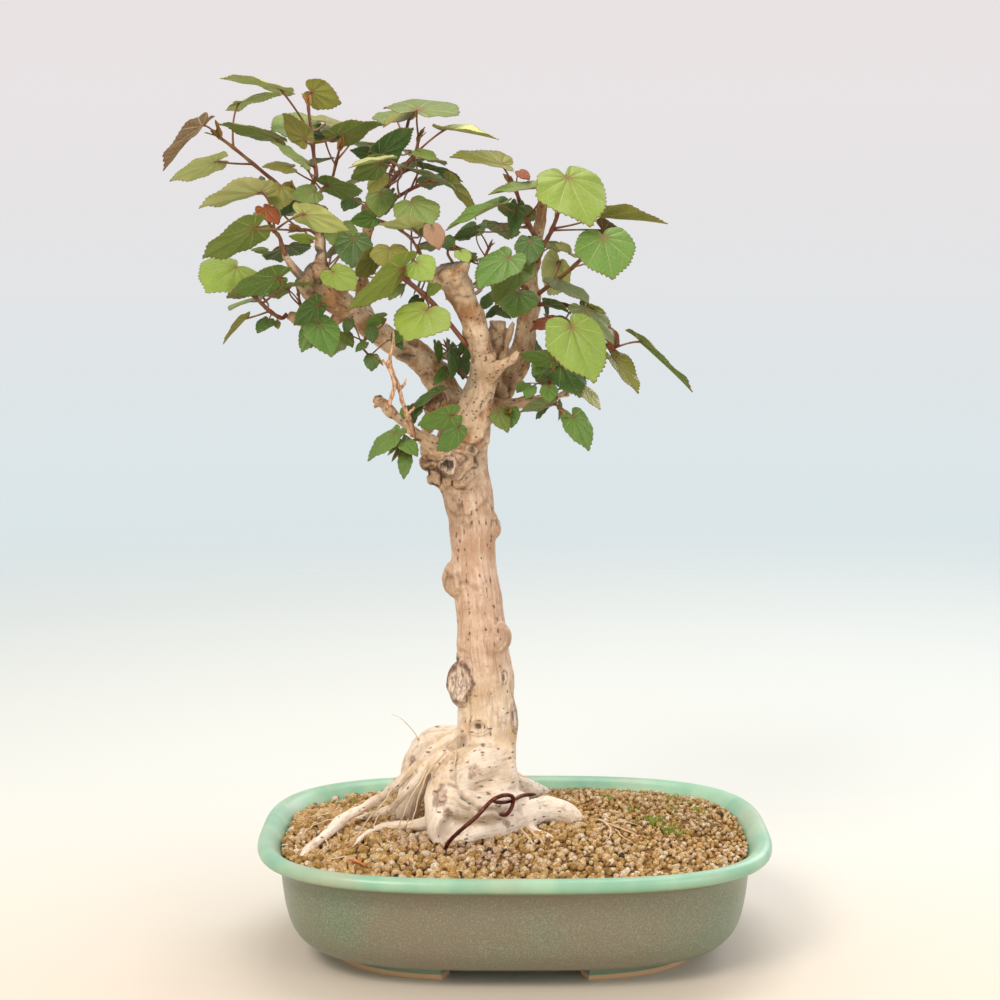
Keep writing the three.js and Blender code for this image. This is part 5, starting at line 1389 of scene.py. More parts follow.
# Each shoot: the stem's radius at both ends, the stem's points, and its leaves, given as the place
# of the stalk along the stem, the blade's foot, its tip, its roll about the midrib in degrees, its
# width against its length, and its colour.
SHOOTS = {
    "shoot_far_left": ((1.3, 0.9), [
        (-119, -8, 424), (-127, -12, 429), (-133, -14, 434), (-146, -18, 445), (-158, -20, 455),
        (-166, -22, 461),
    ], [
        (4, (-156, -4, 481), (-134, 10, 486), 36, 1.05, "pale"),
        (4.9, (-175, -24, 467), (-196, -30, 442), -20, 0.78, "bronze"),
        (3.1, (-166, -34, 447), (-191, -40, 436), -50, 0.95, "pale"),
        (2.3, (-143, -17, 433), (-140, -25, 438), -85, 1, "dark"),
        (1.2, (-124, 28, 424), (-124, 52, 416), 0, 1.05, "mid"),
    ]),
    "shoot_top_left": ((1.4, 0.8), [
        (-118, -6, 422), (-116, -4, 433), (-113, -6, 440), (-114, -6, 449), (-115, -8, 462),
        (-116, -8, 470), (-117, -8, 480),
    ], [
        (4.1, (-131, -24, 487), (-164, -25, 493), -32, 0.85, "pale"),
        (5.7, (-115, -4, 487), (-98, -8, 480), 90, 0.95, "olive"),
        (3.7, (-118, -18, 460), (-130, -20, 474), -75, 1, "olive"),
        (2.5, (-134, -32, 460), (-164, -36, 467), -40, 0.8, "mid"),
        (2, (-117, -40, 447), (-134, -46, 457), -5, 0.85, "mid"),
        (1.5, (-126, -26, 444), (-141, -30, 444), 0, 0.9, "olive"),
        (3.7, (-101, -14, 462), (-73, -14, 468), 40, 0.75, "mid"),
        (4.4, (-109, 22, 471), (-98, 44, 471), -10, 1, "olive"),
        (3.6, (-125, 24, 468), (-136, 46, 478), 0, 1.05, "mid"),
    ]),
    "shoot_inner_left": ((1.1, 0.7), [
        (-117, -5, 422), (-111, 8, 432), (-106, 8, 436), (-102, 4, 449), (-100, 2, 456),
    ], [
        (3.9, (-97, 6, 462), (-79, 16, 469), 60, 0.85, "olive"),
        (2, (-105, -20, 434), (-85, -30, 431), 55, 1, "mid"),
        (1, (-118, 10, 446), (-104, 22, 451), 15, 0.6, "dark"),
        (2.8, (-111, 30, 463), (-116, 48, 472), 0, 1, "mid"),
        (3, (-95, 28, 461), (-90, 56, 458), 0, 1, "mid"),
        (2, (-81, 4, 416), (-95, 0, 414), 60, 0.7, "green"),
    ]),
    "shoot_mid_left": ((1.4, 1), [
        (-128, -33, 395), (-130, -34, 400), (-131, -36, 405), (-134, -38, 409),
    ], [
        (2.9, (-141, -42, 430), (-174, -48, 421), -52, 0.72, "pale"),
        (2.4, (-138, -45, 421), (-130, -49, 412), 10, 1.15, "orange"),
        (2.9, (-116, -47, 418), (-91, -51, 409), 65, 0.85, "light"),
        (1.2, (-128, -20, 400), (-135, 4, 391), 0, 1, "dark"),
        (0.9, (-138, -44, 398), (-146, -46, 398), 0, 1, "mid"),
    ]),
    "shoot_pale_side": ((1, 0.8), [
        (-111, -12, 405), (-116, -16, 409), (-122, -22, 409),
    ], [
        (2, (-142, -60, 410), (-170, -66, 394), -65, 0.85, "mid"),
        (1.5, (-114, -40, 404), (-125, -46, 406), -50, 0.85, "lime"),
        (1.6, (-132, -8, 419), (-143, 18, 423), 0, 1, "mid"),
    ]),
    "shoot_pale_top": ((1, 0.7), [
        (-118, -11, 421), (-122, -20, 428), (-124, -24, 431),
    ], [
        (1.9, (-131, -26, 433), (-131, -34, 420), 0, 1.15, "olive"),
        (1, (-112, -30, 430), (-124, -38, 426), 20, 1, "mid"),
        (0.8, (-125, -18, 425), (-131, -24, 417), 0, 0.9, "dark"),
    ]),
    "shoot_lower_left": ((1.3, 0.9), [
        (-129, -22, 362), (-132, -24, 360), (-138, -28, 364), (-144, -30, 370), (-149, -30, 374),
    ], [
        (4, (-156, -34, 388), (-170, -52, 375), 12, 1.3, "lime"),
        (3.2, (-147, -14, 380), (-163, -22, 371), 180, 1, "olive"),
        (2.7, (-131, -48, 383), (-155, -62, 376), -60, 0.9, "green"),
        (2, (-151, -36, 360), (-163, -40, 346), -50, 0.7, "olive"),
        (1.8, (-139, -32, 359), (-144, -38, 352), 0, 0.95, "dark"),
        (2.3, (-146, 6, 371), (-162, 34, 366), 0, 1.05, "mid"),
        (1.2, (-134, -30, 358), (-133, -32, 354), 0, 0.9, "olive"),
    ]),
    "shoot_under_left": ((1.1, 0.7), [
        (-110, -15, 353), (-115, -23, 354), (-119, -25, 360), (-121, -25, 367), (-122, -26, 374),
    ], [
        (3.2, (-129, -23, 376), (-139, -31, 373), -60, 0.95, "mid"),
        (3, (-125, -36, 378), (-111, -38, 379), 40, 0.6, "mid"),
        (2, (-110, -40, 368), (-123, -46, 357), -85, 0.95, "dark"),
        (0.8, (-110, -34, 357), (-102, -42, 339), 0, 0.95, "green"),
        (1, (-113, -27, 355), (-120, -32, 341), 0, 0.9, "green"),
        (0.6, (-109, 2, 350), (-106, 22, 337), 0, 0.95, "mid"),
    ]),
    "shoot_branch_under": ((0.8, 0.6), [
        (-84, -11, 350), (-87, -18, 344), (-85, -20, 341), (-82, -22, 338),
    ], [
        (3, (-81, -24, 338), (-81, -28, 330), 0, 1, "dark"),
        (0.3, (-81, -28, 354), (-80, -32, 346), 0, 0.85, "dark"),
        (0.3, (-75, -24, 360), (-85, -28, 357), -70, 0.9, "green"),
        (1.3, (-85, -26, 346), (-90, -28, 341), 0, 0.9, "dark"),
        (0.6, (-97, -18, 351), (-92, -20, 343), 0, 0.9, "mid"),
        (1, (-94, -20, 358), (-96, -22, 351), 0, 0.9, "dark"),
        (2.9, (-67, -24, 348), (-64, -26, 342), 0, 0.8, "dark"),
    ]),
    "shoot_pale_mid": ((0.9, 0.7), [
        (-108, -14, 389), (-105, -20, 387), (-103, -26, 385),
    ], [
        (1.6, (-101, -41, 386), (-88, -51, 376), -10, 1, "lime"),
        (0.7, (-99, -14, 411), (-97, -24, 397), 0, 1.05, "mid"),
        (1.2, (-91, -22, 404), (-91, -32, 388), 0, 1.1, "dark"),
        (0.4, (-102, 6, 400), (-110, 8, 393), 0, 1, "grey"),
        (1.9, (-66, -24, 378), (-71, -28, 370), 0, 0.9, "mid"),
        (1.9, (-62, -20, 379), (-65, -16, 371), 0, 0.8, "green"),
    ]),
    "shoot_centre_left": ((1.5, 1.1), [
        (-27, -22, 344), (-37, -26, 357), (-44, -30, 366), (-53, -34, 375), (-63, -38, 383),
    ], [
        (4, (-63, -46, 388), (-92, -62, 366), -65, 0.82, "lime"),
        (2.8, (-49, -52, 365), (-60, -66, 349), 0, 1.35, "lime"),
        (3.4, (-70, -33, 399), (-70, -44, 387), 0, 1.3, "olive"),
        (3.7, (-79, -26, 394), (-90, -34, 384), -90, 1, "olive"),
        (2.5, (-55, -20, 370), (-61, -22, 360), 0, 0.85, "dark"),
        (1.8, (-46, -16, 363), (-44, -12, 351), 0, 0.6, "dark"),
        (2.2, (-65, -24, 352), (-69, -28, 345), 0, 1, "green"),
        (3, (-53, -20, 382), (-58, -14, 371), 0, 0.8, "dark"),
        (2.8, (-44, -34, 380), (-49, -36, 372), 20, 0.8, "lime"),
    ]),
    "shoot_middle_front": ((1.5, 0.9), [
        (-83, 29, 421), (-76, 20, 432), (-67, 12, 442), (-58, 6, 451), (-55, 4, 461),
    ], [
        (4, (-55, -8, 477), (-47, 26, 484), 0, 1.15, "mid"),
        (3.1, (-39, -6, 466), (-9, -10, 460), 20, 0.6, "light"),
        (1.8, (-76, -17, 451), (-57, -19, 466), 70, 0.85, "dark"),
        (2.2, (-54, -14, 453), (-44, -20, 448), 0, 0.9, "mid"),
        (2.9, (-51, 18, 451), (-41, 34, 447), 10, 0.9, "mid"),
        (1.6, (-76, -20, 446), (-92, -26, 438), -75, 0.95, "mid"),
        (1.3, (-71, -38, 448), (-92, -42, 443), -20, 0.6, "pale"),
        (1.2, (-71, 16, 429), (-78, 20, 417), 0, 1.1, "dark"),
        (2.2, (-76, -12, 439), (-82, -18, 429), 0, 0.9, "olive"),
    ]),
    "shoot_middle_back": ((1.4, 0.9), [
        (-84, 31, 421), (-77, 32, 433), (-72, 30, 444), (-66, 26, 457), (-63, 24, 467), (-61, 24, 475),
    ], [
        (4.9, (-61, 22, 478), (-76, 14, 468), -15, 0.9, "olive"),
        (2.3, (-81, 16, 452), (-95, 12, 455), -60, 0.85, "dark"),
        (2.7, (-61, 50, 456), (-51, 74, 451), 0, 1, "mid"),
        (3.6, (-70, 46, 475), (-78, 68, 480), 0, 1, "mid"),
        (1.2, (-88, 40, 441), (-99, 62, 436), 0, 1.05, "dark"),
        (0.2, (-94, 22, 427), (-99, 14, 420), 0, 1, "dark"),
    ]),
    "shoot_middle_right": ((1.2, 0.8), [
        (-82, 30, 418), (-72, 26, 426), (-62, 21, 432), (-53, 17, 436),
    ], [
        (1.5, (-60, -6, 443), (-30, -16, 430), 30, 0.55, "teal"),
        (2, (-58, -22, 424), (-46, -34, 412), 0, 1.3, "mid"),
        (3, (-37, 2, 435), (-22, -6, 415), 70, 0.7, "olive"),
        (2.2, (-52, 16, 445), (-30, 20, 437), 35, 0.6, "dark"),
        (2.7, (-48, 24, 440), (-50, 40, 433), 0, 1, "dark"),
        (0.9, (-77, -2, 430), (-77, -12, 416), 0, 0.9, "mid"),
        (2.5, (-59, 30, 450), (-65, 44, 443), 0, 1, "dark"),
    ]),
    "shoot_middle_low": ((1.1, 0.7), [
        (-83, 27, 416), (-71, 14, 412), (-64, 2, 408), (-59, -6, 404), (-55, -10, 398),
    ], [
        (2.6, (-57, -36, 410), (-76, -46, 412), -45, 0.78, "pale"),
        (3.9, (-46, -40, 410), (-42, -44, 398), 0, 0.9, "pink"),
        (3, (-54, -52, 391), (-45, -60, 382), -30, 1.1, "lime"),
        (1.8, (-55, -10, 414), (-50, -14, 404), 0, 0.9, "mid"),
        (3.6, (-39, -24, 405), (-38, -30, 398), 0, 1, "dark"),
        (3, (-55, -20, 416), (-45, -26, 409), 0, 0.85, "lime"),
        (3.9, (-59, -10, 391), (-62, -6, 383), 0, 0.9, "dark"),
    ]),
    "shoot_right_top_left": ((1.5, 0.9), [
        (12, 12, 405), (8, 6, 412), (4, 0, 421), (1, -4, 430), (-2, -6, 436),
    ], [
        (3.3, (-8, -8, 446), (-37, -12, 450), 2, 0.7, "olive"),
        (3.1, (3, -10, 442), (8, -14, 437), 0, 1, "orange"),
        (1.4, (12, -17, 433), (-15, -23, 429), -10, 0.6, "mid"),
        (1.1, (-10, -20, 423), (-39, -27, 409), -20, 0.6, "green"),
        (1, (-23, -8, 409), (-35, -12, 405), -60, 0.9, "dark"),
        (0.8, (-9, 26, 413), (-4, 46, 404), 0, 1, "mid"),
        (1.4, (2, 22, 423), (6, 44, 413), 0, 1, "mid"),
        (2.5, (1, -8, 422), (-2, -14, 404), 20, 0.5, "dark"),
    ]),
    "shoot_right_top": ((1.4, 0.9), [
        (13, 14, 391), (17, 8, 401), (21, 2, 409), (25, -2, 420), (26, -4, 426),
    ], [
        (3.6, (29, -24, 438), (42, -38, 411), 8, 1.3, "lime"),
        (2.1, (46, -2, 417), (87, -4, 413), 40, 0.6, "olive"),
        (2, (50, -10, 409), (64, -18, 399), 75, 1.2, "bronze"),
        (2.6, (26, 24, 429), (35, 48, 434), 0, 1.05, "mid"),
        (1.5, (18, 28, 403), (25, 52, 396), 0, 1, "mid"),
        (0.5, (26, -8, 401), (32, -12, 396), 0, 0.9, "olive"),
    ]),
    "shoot_right_mid": ((1.4, 1), [
        (12, 17, 371), (22, 10, 379), (31, 2, 386), (40, -8, 395), (44, -10, 398),
    ], [
        (3.7, (49, -31, 405), (54, -43, 382), 0, 1.25, "green"),
        (1, (25, 26, 390), (20, 38, 371), 58, 1.1, "light"),
        (1.2, (25, 1, 380), (42, -12, 368), 20, 0.95, "grey"),
        (2.3, (45, 22, 393), (60, 50, 390), 0, 1.05, "mid"),
    ]),
    "shoot_right_low": ((1.4, 0.9), [
        (13, 18, 366), (24, 10, 367), (34, 2, 364), (45, -4, 352), (56, -8, 340),
    ], [
        (2, (31, -34, 355), (44, -48, 325), 5, 1, "lime"),
        (2.5, (39, -12, 364), (56, -22, 345), 10, 0.85, "grey"),
        (3.9, (71, -14, 346), (101, -20, 318), 40, 0.55, "olive"),
        (4, (56, -14, 336), (70, -22, 317), 20, 0.78, "olive"),
        (1.1, (19, -6, 367), (32, -14, 362), 55, 0.7, "dark"),
        (2.6, (42, 22, 352), (47, 44, 342), 0, 1, "mid"),
        (2.5, (40, 32, 347), (46, 52, 333), 0, 1.05, "dark"),
        (4, (57, -10, 344), (53, -14, 355), 20, 0.9, "orange"),
        (1.5, (43, -4, 366), (52, -6, 362), 10, 0.8, "lime"),
        (0.6, (17, 10, 368), (19, 12, 359), 20, 0.6, "dark"),
        (2.5, (43, -10, 366), (52, -14, 362), 50, 0.5, "olive"),
    ]),
    "shoot_low_right": ((1.3, 0.8), [
        (19, -8, 315), (20, -12, 322), (23, -16, 335), (26, -16, 341),
    ], [
        (2.2, (21, -34, 337), (2, -42, 341), -55, 0.85, "green"),
        (2.2, (26, -10, 334), (37, -24, 315), 0, 0.9, "dark"),
        (1, (19, -30, 321), (19, -36, 313), 0, 1, "green"),
        (0.4, (39, -6, 319), (49, -12, 307), 20, 0.85, "light"),
        (2.3, (20, 14, 331), (20, 28, 315), 0, 0.9, "dark"),
        (1.7, (13, -26, 335), (13, -30, 328), 0, 0.95, "green"),
        (1.6, (17, -6, 333), (10, -10, 326), 0, 0.9, "green"),
        (0.9, (5, -14, 322), (1, -16, 317), 0, 1, "green"),
        (1.1, (9, -26, 321), (6, -28, 314), 0, 1, "green"),
    ]),
    "shoot_low_right_tip": ((0.8, 0.6), [
        (24, -13, 315), (23, -20, 312), (24, -22, 310),
    ], [
        (1.8, (33, -22, 304), (42, -28, 285), 10, 0.85, "green"),
        (0.8, (19, -24, 311), (2, -30, 307), -65, 0.7, "grey"),
        (1.6, (25, -14, 311), (25, -14, 301), 65, 0.5, "grey"),
        (0.4, (18, -10, 310), (12, -6, 301), 0, 0.9, "dark"),
    ]),
    "shoot_under_right": ((0.8, 0.6), [
        (-2, -1, 307), (-3, -8, 304), (-4, -14, 306),
    ], [
        (1.8, (-10, -18, 306), (-4, -24, 295), 0, 0.85, "mid"),
        (1.4, (-2, -14, 307), (-2, -18, 297), 0, 0.9, "green"),
    ]),
    "shoot_right_inner": ((1.2, 0.8), [
        (8, 17, 375), (3, 6, 378), (-2, -6, 384), (-4, -14, 391),
    ], [
        (3, (-4, -40, 394), (-21, -52, 377), 0, 0.95, "green"),
        (2.3, (2, -26, 388), (-11, -40, 368), -20, 0.95, "mid"),
        (1.2, (2, -14, 373), (-1, -24, 360), 0, 1.35, "green"),
        (2.8, (8, -27, 403), (7, -36, 389), 0, 0.95, "dark"),
        (0.7, (-6, 30, 377), (-12, 46, 367), 0, 1, "green"),
        (1, (-15, 12, 370), (-20, 10, 363), 10, 0.9, "dark"),
        (0.5, (-9, 14, 361), (-2, 10, 358), 0, 0.7, "dark"),
        (0.4, (-10, 22, 364), (-17, 20, 358), 0, 0.8, "dark"),
        (0.4, (-5, 16, 371), (-9, 14, 377), 0, 0.8, "mid"),
    ]),
    "shoot_orange": ((0.9, 0.7), [
        (11, 18, 356), (16, 4, 357), (19, -4, 358),
    ], [
        (1.9, (21, -18, 359), (9, -22, 353), 0, 0.85, "orange"),
        (0.8, (9, 30, 345), (15, 44, 331), 0, 0.95, "dark"),
        (1.1, (24, 6, 359), (35, 2, 355), 20, 0.6, "dark"),
    ]),
    "shoot_knob": ((0.9, 0.6), [
        (-35, -28, 391), (-38, -24, 396), (-37, -20, 400),
    ], [
        (2, (-30, -43, 397), (-26, -49, 391), 0, 1, "lime"),
        (1.8, (-34, -14, 398), (-21, -10, 391), 30, 0.75, "mid"),
        (1.9, (-43, 2, 404), (-49, 22, 397), 0, 1, "mid"),
        (1.9, (-33, -8, 399), (-22, -4, 394), 20, 0.7, "grey"),
        (1.9, (-24, 2, 394), (-32, 6, 391), 20, 0.8, "dark"),
    ]),
    "shoot_behind_centre": ((1.2, 0.8), [
        (-28, -21, 371), (-20, 4, 375), (-18, 16, 383), (-17, 20, 394), (-15, 20, 399),
    ], [
        (3, (-22, 10, 408), (-16, 12, 414), 0, 0.9, "teal"),
        (2.7, (-25, 34, 391), (-35, 54, 387), 0, 1, "mid"),
        (2.2, (-9, 48, 379), (-3, 68, 368), 0, 1, "dark"),
        (1.4, (-29, 24, 376), (-38, 40, 368), 0, 1, "mid"),
        (3.9, (-25, 14, 410), (-35, 20, 404), 30, 0.9, "dark"),
    ]),
    "shoot_crotch": ((0.9, 0.6), [
        (-25, -13, 324), (-31, -5, 328), (-36, -1, 335), (-39, 0, 342),
    ], [
        (2.9, (-37, -10, 342), (-37, -16, 323), 65, 0.65, "dark"),
        (2.5, (-45, -4, 344), (-44, -8, 333), 40, 0.6, "green"),
        (1.6, (-31, 10, 335), (-30, 6, 323), 20, 0.85, "dark"),
        (2, (-40, -6, 329), (-47, -14, 321), 30, 0.5, "green"),
        (1.8, (-44, 24, 336), (-54, 44, 327), 0, 1, "mid"),
        (2.8, (-29, 4, 344), (-32, 2, 337), 20, 0.7, "dark"),
        (2.2, (-27, 2, 340), (-28, 0, 333), 20, 0.7, "dark"),
    ]),
    "shoot_burl": ((0.9, 0.6), [
        (-37, -9, 298), (-39, -30, 304), (-40, -36, 309),
    ], [
        (1.9, (-36, -54, 308), (-54, -62, 303), -70, 1, "green"),
        (1.2, (-32, -35, 299), (-44, -45, 287), -90, 1.05, "green"),
        (0.8, (-42, -20, 318), (-58, -30, 308), -25, 0.7, "dark"),
        (0.4, (-55, -26, 310), (-58, -28, 303), 0, 0.9, "dark"),
        (0.9, (-59, -24, 309), (-57, -22, 300), 0, 0.8, "dark"),
    ]),
    "shoot_low_left": ((0.8, 0.6), [
        (-52, -21, 290), (-57, -36, 292), (-60, -44, 289),
    ], [
        (1.2, (-67, -48, 297), (-82, -54, 282), -15, 0.85, "green"),
        (1.9, (-62, -52, 293), (-54, -58, 285), 0, 0.85, "green"),
        (1.9, (-61, -50, 284), (-62, -56, 272), 0, 0.6, "green"),
        (0.8, (-63, -28, 308), (-65, -26, 301), 0, 0.8, "green"),
        (1.9, (-65, -50, 292), (-71, -54, 285), 40, 0.3, "mid"),
        (1.9, (-65, -48, 288), (-69, -50, 281), 40, 0.3, "grey"),
    ]),
}


def leaf_frame(base, tip, roll):
    foot = np.array(base, float)
    rib = np.array(tip, float) - foot
    length = np.linalg.norm(rib)
    rib = rib / length
    sky = np.array((0, -0.5, 1.0))
    level = sky - rib * (sky @ rib)
    level = level / np.linalg.norm(level)
    turn = math.radians(roll)
    face = level * math.cos(turn) + np.cross(level, rib) * math.sin(turn)
    return foot, rib, np.cross(face, rib), face, length


def rim_points(count):
    """Evenly spaced points round the flat blade, from the tip, for a leaf one unit long."""
    half = np.array([
        (reach * math.cos(math.radians(angle)), reach * math.sin(math.radians(angle)))
        for angle, reach in LEAF_OUTLINE
    ])
    half = smooth_route(half, 8)
    loop = np.vstack([half, (half * (1, -1))[::-1]])
    gone = np.concatenate([[0], np.cumsum(np.hypot(*np.diff(loop, axis=0).T))])
    even = np.linspace(0, gone[-1], count, endpoint=False)
    return np.column_stack([np.interp(even, gone, loop[:, 0]), np.interp(even, gone, loop[:, 1])])


def blade_parts(leaf, seed):
    """One leaf blade: its points, faces, and what its finish needs to know of each point."""
    _, base, tip, roll, ratio, colour = leaf
    foot, rib, side, face, length = leaf_frame(base, tip, roll)
    draw = np.random.default_rng(seed)
    if length >= LARGE_LEAF:
        columns, reaches = 120, (0.14, 0.32, 0.5, 0.68, 0.84, 0.95, 1)
    elif length >= SMALL_LEAF:
        columns, reaches = 72, (0.2, 0.42, 0.65, 0.84, 0.95, 1)
    else:
        columns, reaches = 42, (0.3, 0.6, 0.85, 1)
    rim = rim_points(columns)
    tooth = np.array([-1, 0.1, 0.9])[np.arange(columns) % 3] * TOOTH_DEPTH
    tooth = tooth * np.clip(np.hypot(*rim.T) * 2.2 - 0.35, 0, 1)
    tooth[0] = 0
    flat = [np.zeros((1, 2))]
    for reach in reaches:
        toothed = 1 + tooth * np.clip((reach - 0.85) / 0.15, 0, 1)
        flat.append(rim * reach * toothed[:, None])
    flat = np.vstack(flat)
    margin = np.concatenate([[0], np.repeat(reaches, columns)])

    # The blade is folded or arched, quilted between the veins, and waved along the margin.
    widen = ratio / OUTLINE_WIDTH
    along, aside = flat[:, 0], flat[:, 1] * widen
    out = np.hypot(*flat.T)
    angle = np.arctan2(flat[:, 1], flat[:, 0])
    folded = ratio < FOLDED_BELOW
    fold, arch, droop = (0.26, 0.08, 0) if folded else (0.04, 0.11, 0.22)
    height = fold * np.abs(aside) + arch * along * (1 - along) - droop * aside**2
    quilting = QUILT_DEPTH * np.cos(2 * math.pi * angle / VEIN_SPREAD) * np.clip(out * 2.5, 0, 1)
    height -= quilting * (1 - 0.4 * margin)
    phase, waves = draw.uniform(0, 6.28), draw.integers(4, 7)
    off_tip = np.clip(np.abs(angle) / 0.35, 0, 1)
    height += WAVE_DEPTH * np.sin(waves * angle + phase) * margin**3 * off_tip
    own_place = np.column_stack([flat * 2.4, np.full(len(flat), seed * 7.3)])
    height += LIMPNESS * roughness_at(own_place, 1.0, 71) * off_tip
    half = BLADE_HALF + (MARGIN_HALF - BLADE_HALF) * margin

    middle = foot + (np.outer(along, rib) + np.outer(aside, side) + np.outer(height, face)) * length
    points = np.vstack([middle + np.outer(half, face), middle - np.outer(half, face)])
    under = len(middle)
    faces = []
    for i in range(columns):
        j = (i + 1) % columns
        faces.append((0, 1 + i, 1 + j))
        faces.append((under, under + 1 + j, under + 1 + i))
        for ring in range(len(reaches) - 1):
            a, b = 1 + ring * columns, 1 + (ring + 1) * columns
            faces.append((a + i, b + i, b + j, a + j))
            faces.append((under + a + j, under + b + j, under + b + i, under + a + i))
        last = 1 + (len(reaches) - 1) * columns
        faces.append((under + last + i, under + last + j, last + j, last + i))

    # The side turned towards the viewer has the colour that the photograph shows for this leaf.
    eye = np.array((0, -math.cos(VIEW_PITCH), math.sin(VIEW_PITCH)))
    seen, hidden = (np.array(shade(code)) for code in LEAF_COLOURS[colour])
    seen = seen * draw.uniform(0.9, 1.12) * draw.uniform(0.95, 1.05, 3)
    above, below = (seen, hidden) if face @ eye > 0 else (hidden, seen)
    tint = np.vstack([np.tile(above, (under, 1)), np.tile(below, (under, 1))])
    place = np.column_stack([flat, np.zeros(under)])
    known = {
        "leaf_tint_colour": tint,
        "leaf_place": np.vstack([place, place]),
        "margin": np.concatenate([margin, margin]),
        "underside": np.repeat([0.0, 1.0], under),
    }
    return points, faces, known


def stem_point(stem, along):
    span = min(int(along), len(stem) - 2)
    return stem[span] + (stem[span + 1] - stem[span]) * (along - span)


def stalk_parts(stem, leaf):
    """The leaf's stalk: it bows up from the stem and thickens a little where it meets the blade."""
    along, base, tip, roll, _, _ = leaf
    foot, rib, _, face, length = leaf_frame(base, tip, roll)
    start = stem_point(stem, along)
    gap = np.linalg.norm(start - foot)
    bow = foot - 0.25 * gap * rib - 0.2 * gap * face
    parts = np.linspace(0, 1, 12)[:, None]
    route = foot * (1 - parts) ** 2 + bow * 2 * parts * (1 - parts) + start * parts**2
    route = np.vstack([foot + rib * min(1.2, 0.05 * length), route])
    slim = min(1, 0.45 + length / 40)
    thick = STALK_RADIUS * slim * STALK_SHAPE
    points, _ = tube_points(np.column_stack([route, thick]), 8)
    return points, skin_faces(len(route), 8)


def stem_parts(stem, thick, leaves):
    """The stem, with a slight swelling where each stalk leaves it, drawn out to a bud at its tip."""
    lean = stem[-1] - stem[-2]
    lean = lean / np.linalg.norm(lean)
    bud = [stem[-1] + BUD_NECK * lean, stem[-1] + BUD_LENGTH * lean]
    route = smooth_route(np.vstack([stem, *bud]), 6)
    where = np.linspace(0, len(stem) + 1, len(route))
    radius = thick[0] + (thick[1] - thick[0]) * np.clip(where / (len(stem) - 1), 0, 1)
    for leaf in leaves:
        radius = radius + 0.28 * thick[1] * np.exp(-(((where - leaf[0]) / 0.16) ** 2))
    drawn_out = np.interp(where - len(stem) + 1, [0, 0.8, 2], [1, 1.1, 0.25])
    radius = np.where(where > len(stem) - 1, radius * drawn_out, radius)
    points, _ = tube_points(np.column_stack([route, radius]), 10)
    return points, skin_faces(len(route), 10)


def bud_leaves(stem, draw):
    """The folded young leaves and scales that wrap the bud."""
    lean = stem[-1] - stem[-2]
    lean = lean / np.linalg.norm(lean)
    young = []
    for _ in range(3):
        spread = draw.normal(0, 0.38, 3)
        base = stem[-1] + 0.6 * spread
        tip = base + (lean + spread) * draw.uniform(4.2, 7.5)
        young.append((0, base, tip, float(draw.uniform(-60, 60)), 0.5, "bud"))
    return young


blade = Finish("leaf_blade")
leaf_at = blade.place()
leaf_x, leaf_y, _ = blade.parts_of(blade.stored("leaf_place", "Vector"))
leaf_out = blade.sum_of("SQRT", blade.plus(blade.times(leaf_x, leaf_x), blade.times(leaf_y, leaf_y)))
leaf_angle = blade.sum_of("ABSOLUTE", blade.sum_of("ARCTAN2", leaf_y, leaf_x))
# The angle from the nearest of the main veins, which fan from the foot at even angles.
turned = blade.plus(leaf_angle, VEIN_SPREAD / 2)
off_vein = blade.less(blade.sum_of("FLOORED_MODULO", turned, VEIN_SPREAD), VEIN_SPREAD / 2)
from_vein = blade.sum_of("ABSOLUTE", blade.times(leaf_out, blade.sum_of("SINE", off_vein)))
up_vein = blade.times(leaf_out, blade.sum_of("COSINE", off_vein))
vein_width = blade.less(0.013, blade.times(leaf_out, 0.01))
main_vein = blade.between(blade.sum_of("DIVIDE", from_vein, vein_width), 1.3, 0.5)
ladder = blade.less(up_vein, blade.times(from_vein, 0.9))
ladder = blade.sum_of("FLOORED_MODULO", blade.times(ladder, 8.5), 1.0)
side_vein = blade.between(blade.sum_of("ABSOLUTE", blade.less(ladder, 0.5)), 0.09, 0.02)
side_vein = blade.times(side_vein, blade.between(leaf_out, 0.1, 0.25))
net = blade.cells(blade.stored("leaf_place", "Vector"), 0.055, "DISTANCE_TO_EDGE")["Distance"]
net_vein = blade.between(net, 0.09, 0.02)
patches = blade.clouds(leaf_at, 0.009, 3.0)
dots = blade.clouds(leaf_at, 0.0013, 3.0)
underside = blade.stored("underside")
leaf_tint = blade.stored("leaf_tint_colour", "Color")
patch_tone = blade.blended(patches, (0.78, 0.8, 0.76), (1.16, 1.14, 1.12))
leaf_colour = blade.blended(1.0, leaf_tint, patch_tone, "MULTIPLY")
leaf_colour = blade.tinted(leaf_colour, blade.between(dots, 0.55, 0.75), 0.12, "#d8d38a")
pale_vein = blade.blended(0.55, leaf_colour, shade("#e2df9c"))
red_near_foot = blade.between(leaf_out, 0.3, 0.02)
pale_vein = blade.tinted(pale_vein, red_near_foot, 0.8, "#8e4a35")
leaf_colour = blade.blended(blade.times(net_vein, 0.12), leaf_colour, pale_vein)
leaf_colour = blade.blended(blade.times(side_vein, 0.28), leaf_colour, pale_vein)
leaf_colour = blade.blended(blade.times(main_vein, 0.8), leaf_colour, pale_vein)
at_margin = blade.between(blade.stored("margin"), 0.965, 1.0)
leaf_colour = blade.tinted(leaf_colour, at_margin, 0.6, "#8f5a37")
veins = blade.plus(main_vein, blade.plus(blade.times(side_vein, 0.5), blade.times(net_vein, 0.15)))
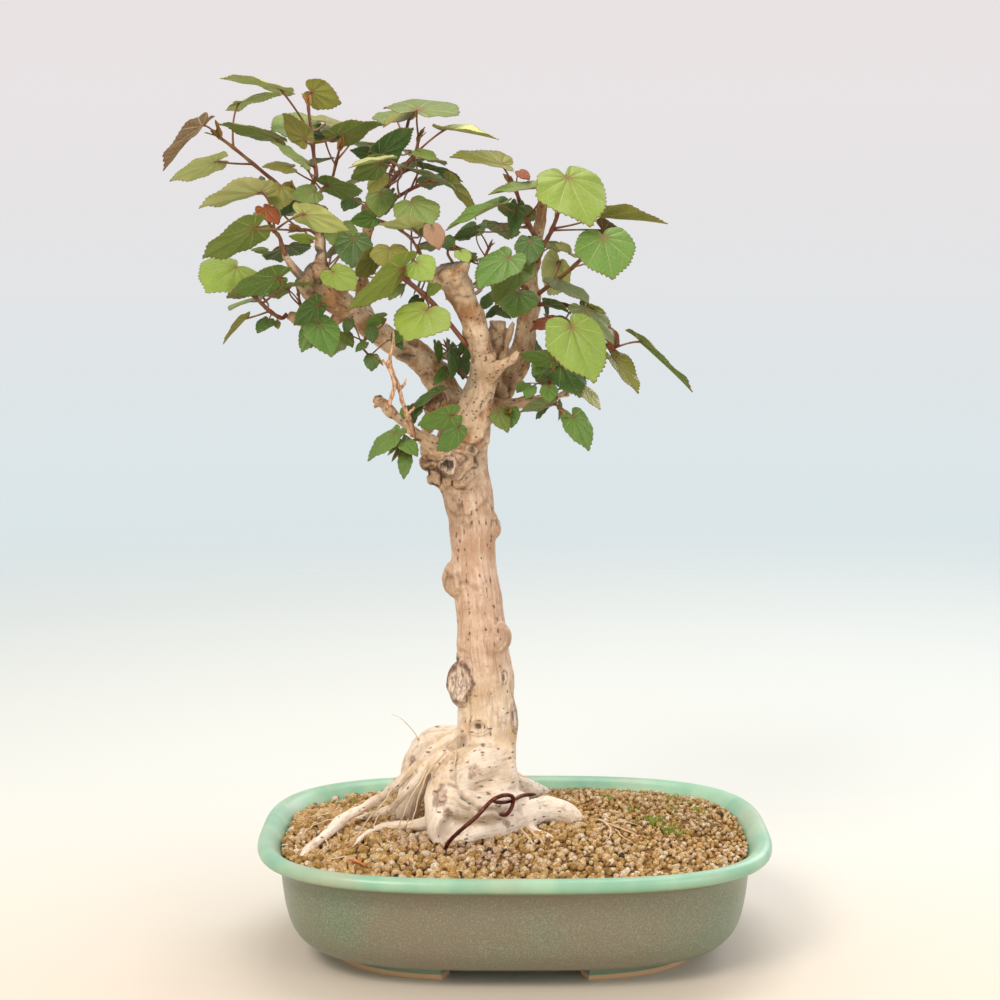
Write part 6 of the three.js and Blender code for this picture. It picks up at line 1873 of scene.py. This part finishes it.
# Veins are sunk on the upper side of the blade and stand out on the underside.
vein_sign = blade.less(blade.times(underside, 2.0), 1.0)
vein_relief = blade.relief(blade.times(veins, vein_sign), 0.00018)
leaf_finish = blade.surface(
    Base_Color=leaf_colour,
    Roughness=blade.plus(0.42, blade.times(underside, 0.2)),
    Normal=blade.relief(dots, 0.00005, vein_relief),
)
glow = blade.add("BsdfTranslucent", {"Color": leaf_colour})
through = blade.add("MixShader", {0: 0.25, 1: blade.shader.outputs[0], 2: glow.outputs[0]})
blade.links.new(through.outputs[0], blade.nodes["Material Output"].inputs["Surface"])

stalk_look = Finish("red_stalk")
stalk_at = stalk_look.place()
stalk_browner = stalk_look.between(stalk_look.clouds(stalk_at, 0.007, 3.0), 0.4, 0.65)
stalk_grain = stalk_look.clouds(stalk_at, 0.0008, 3.0)
stalk_colour = stalk_look.blended(stalk_browner, shade("#6e3023"), shade("#85602f"))
stalk_finish = stalk_look.surface(
    Base_Color=stalk_look.tinted(stalk_colour, stalk_grain, 0.2, "#b98a5a"),
    Roughness=0.5,
    Normal=stalk_look.relief(stalk_grain, 0.0001),
)

# What the blades' finish would read on the stalks, where it isn't used.
ON_STALKS = {"leaf_tint_colour": (0.1, 0.1, 0.1), "leaf_place": (0, 0, 0), "margin": 0, "underside": 0}

for shoot, (name, (thick, stem, leaves)) in enumerate(SHOOTS.items()):
    stem = np.array(stem, float)
    draw = np.random.default_rng(900 + shoot)
    parts = [stem_parts(stem, thick, leaves)]
    parts += [stalk_parts(stem, leaf) for leaf in leaves]
    stalk_faces = sum(len(faces) for _, faces in parts)
    stalk_count = sum(len(points) for points, _ in parts)
    young = bud_leaves(stem, draw)
    blades = [blade_parts(leaf, 1000 + 40 * shoot + k) for k, leaf in enumerate([*leaves, *young])]
    parts += [(points, faces) for points, faces, _ in blades]
    mesh = mesh_of(name.replace("shoot_", "leafy_"), *joined(parts))
    for key, plain in ON_STALKS.items():
        values = [known[key] for _, _, known in blades]
        store(mesh, key, np.concatenate([np.array([plain] * stalk_count, float), *values]))
    finish_of_face = np.zeros(len(mesh.polygons), np.int32)
    finish_of_face[:stalk_faces] = 1
    mesh.shade_smooth()
    piece_of(mesh, [leaf_finish, stalk_finish], "foliage", [name])
    mesh.polygons.foreach_set("material_index", finish_of_face)
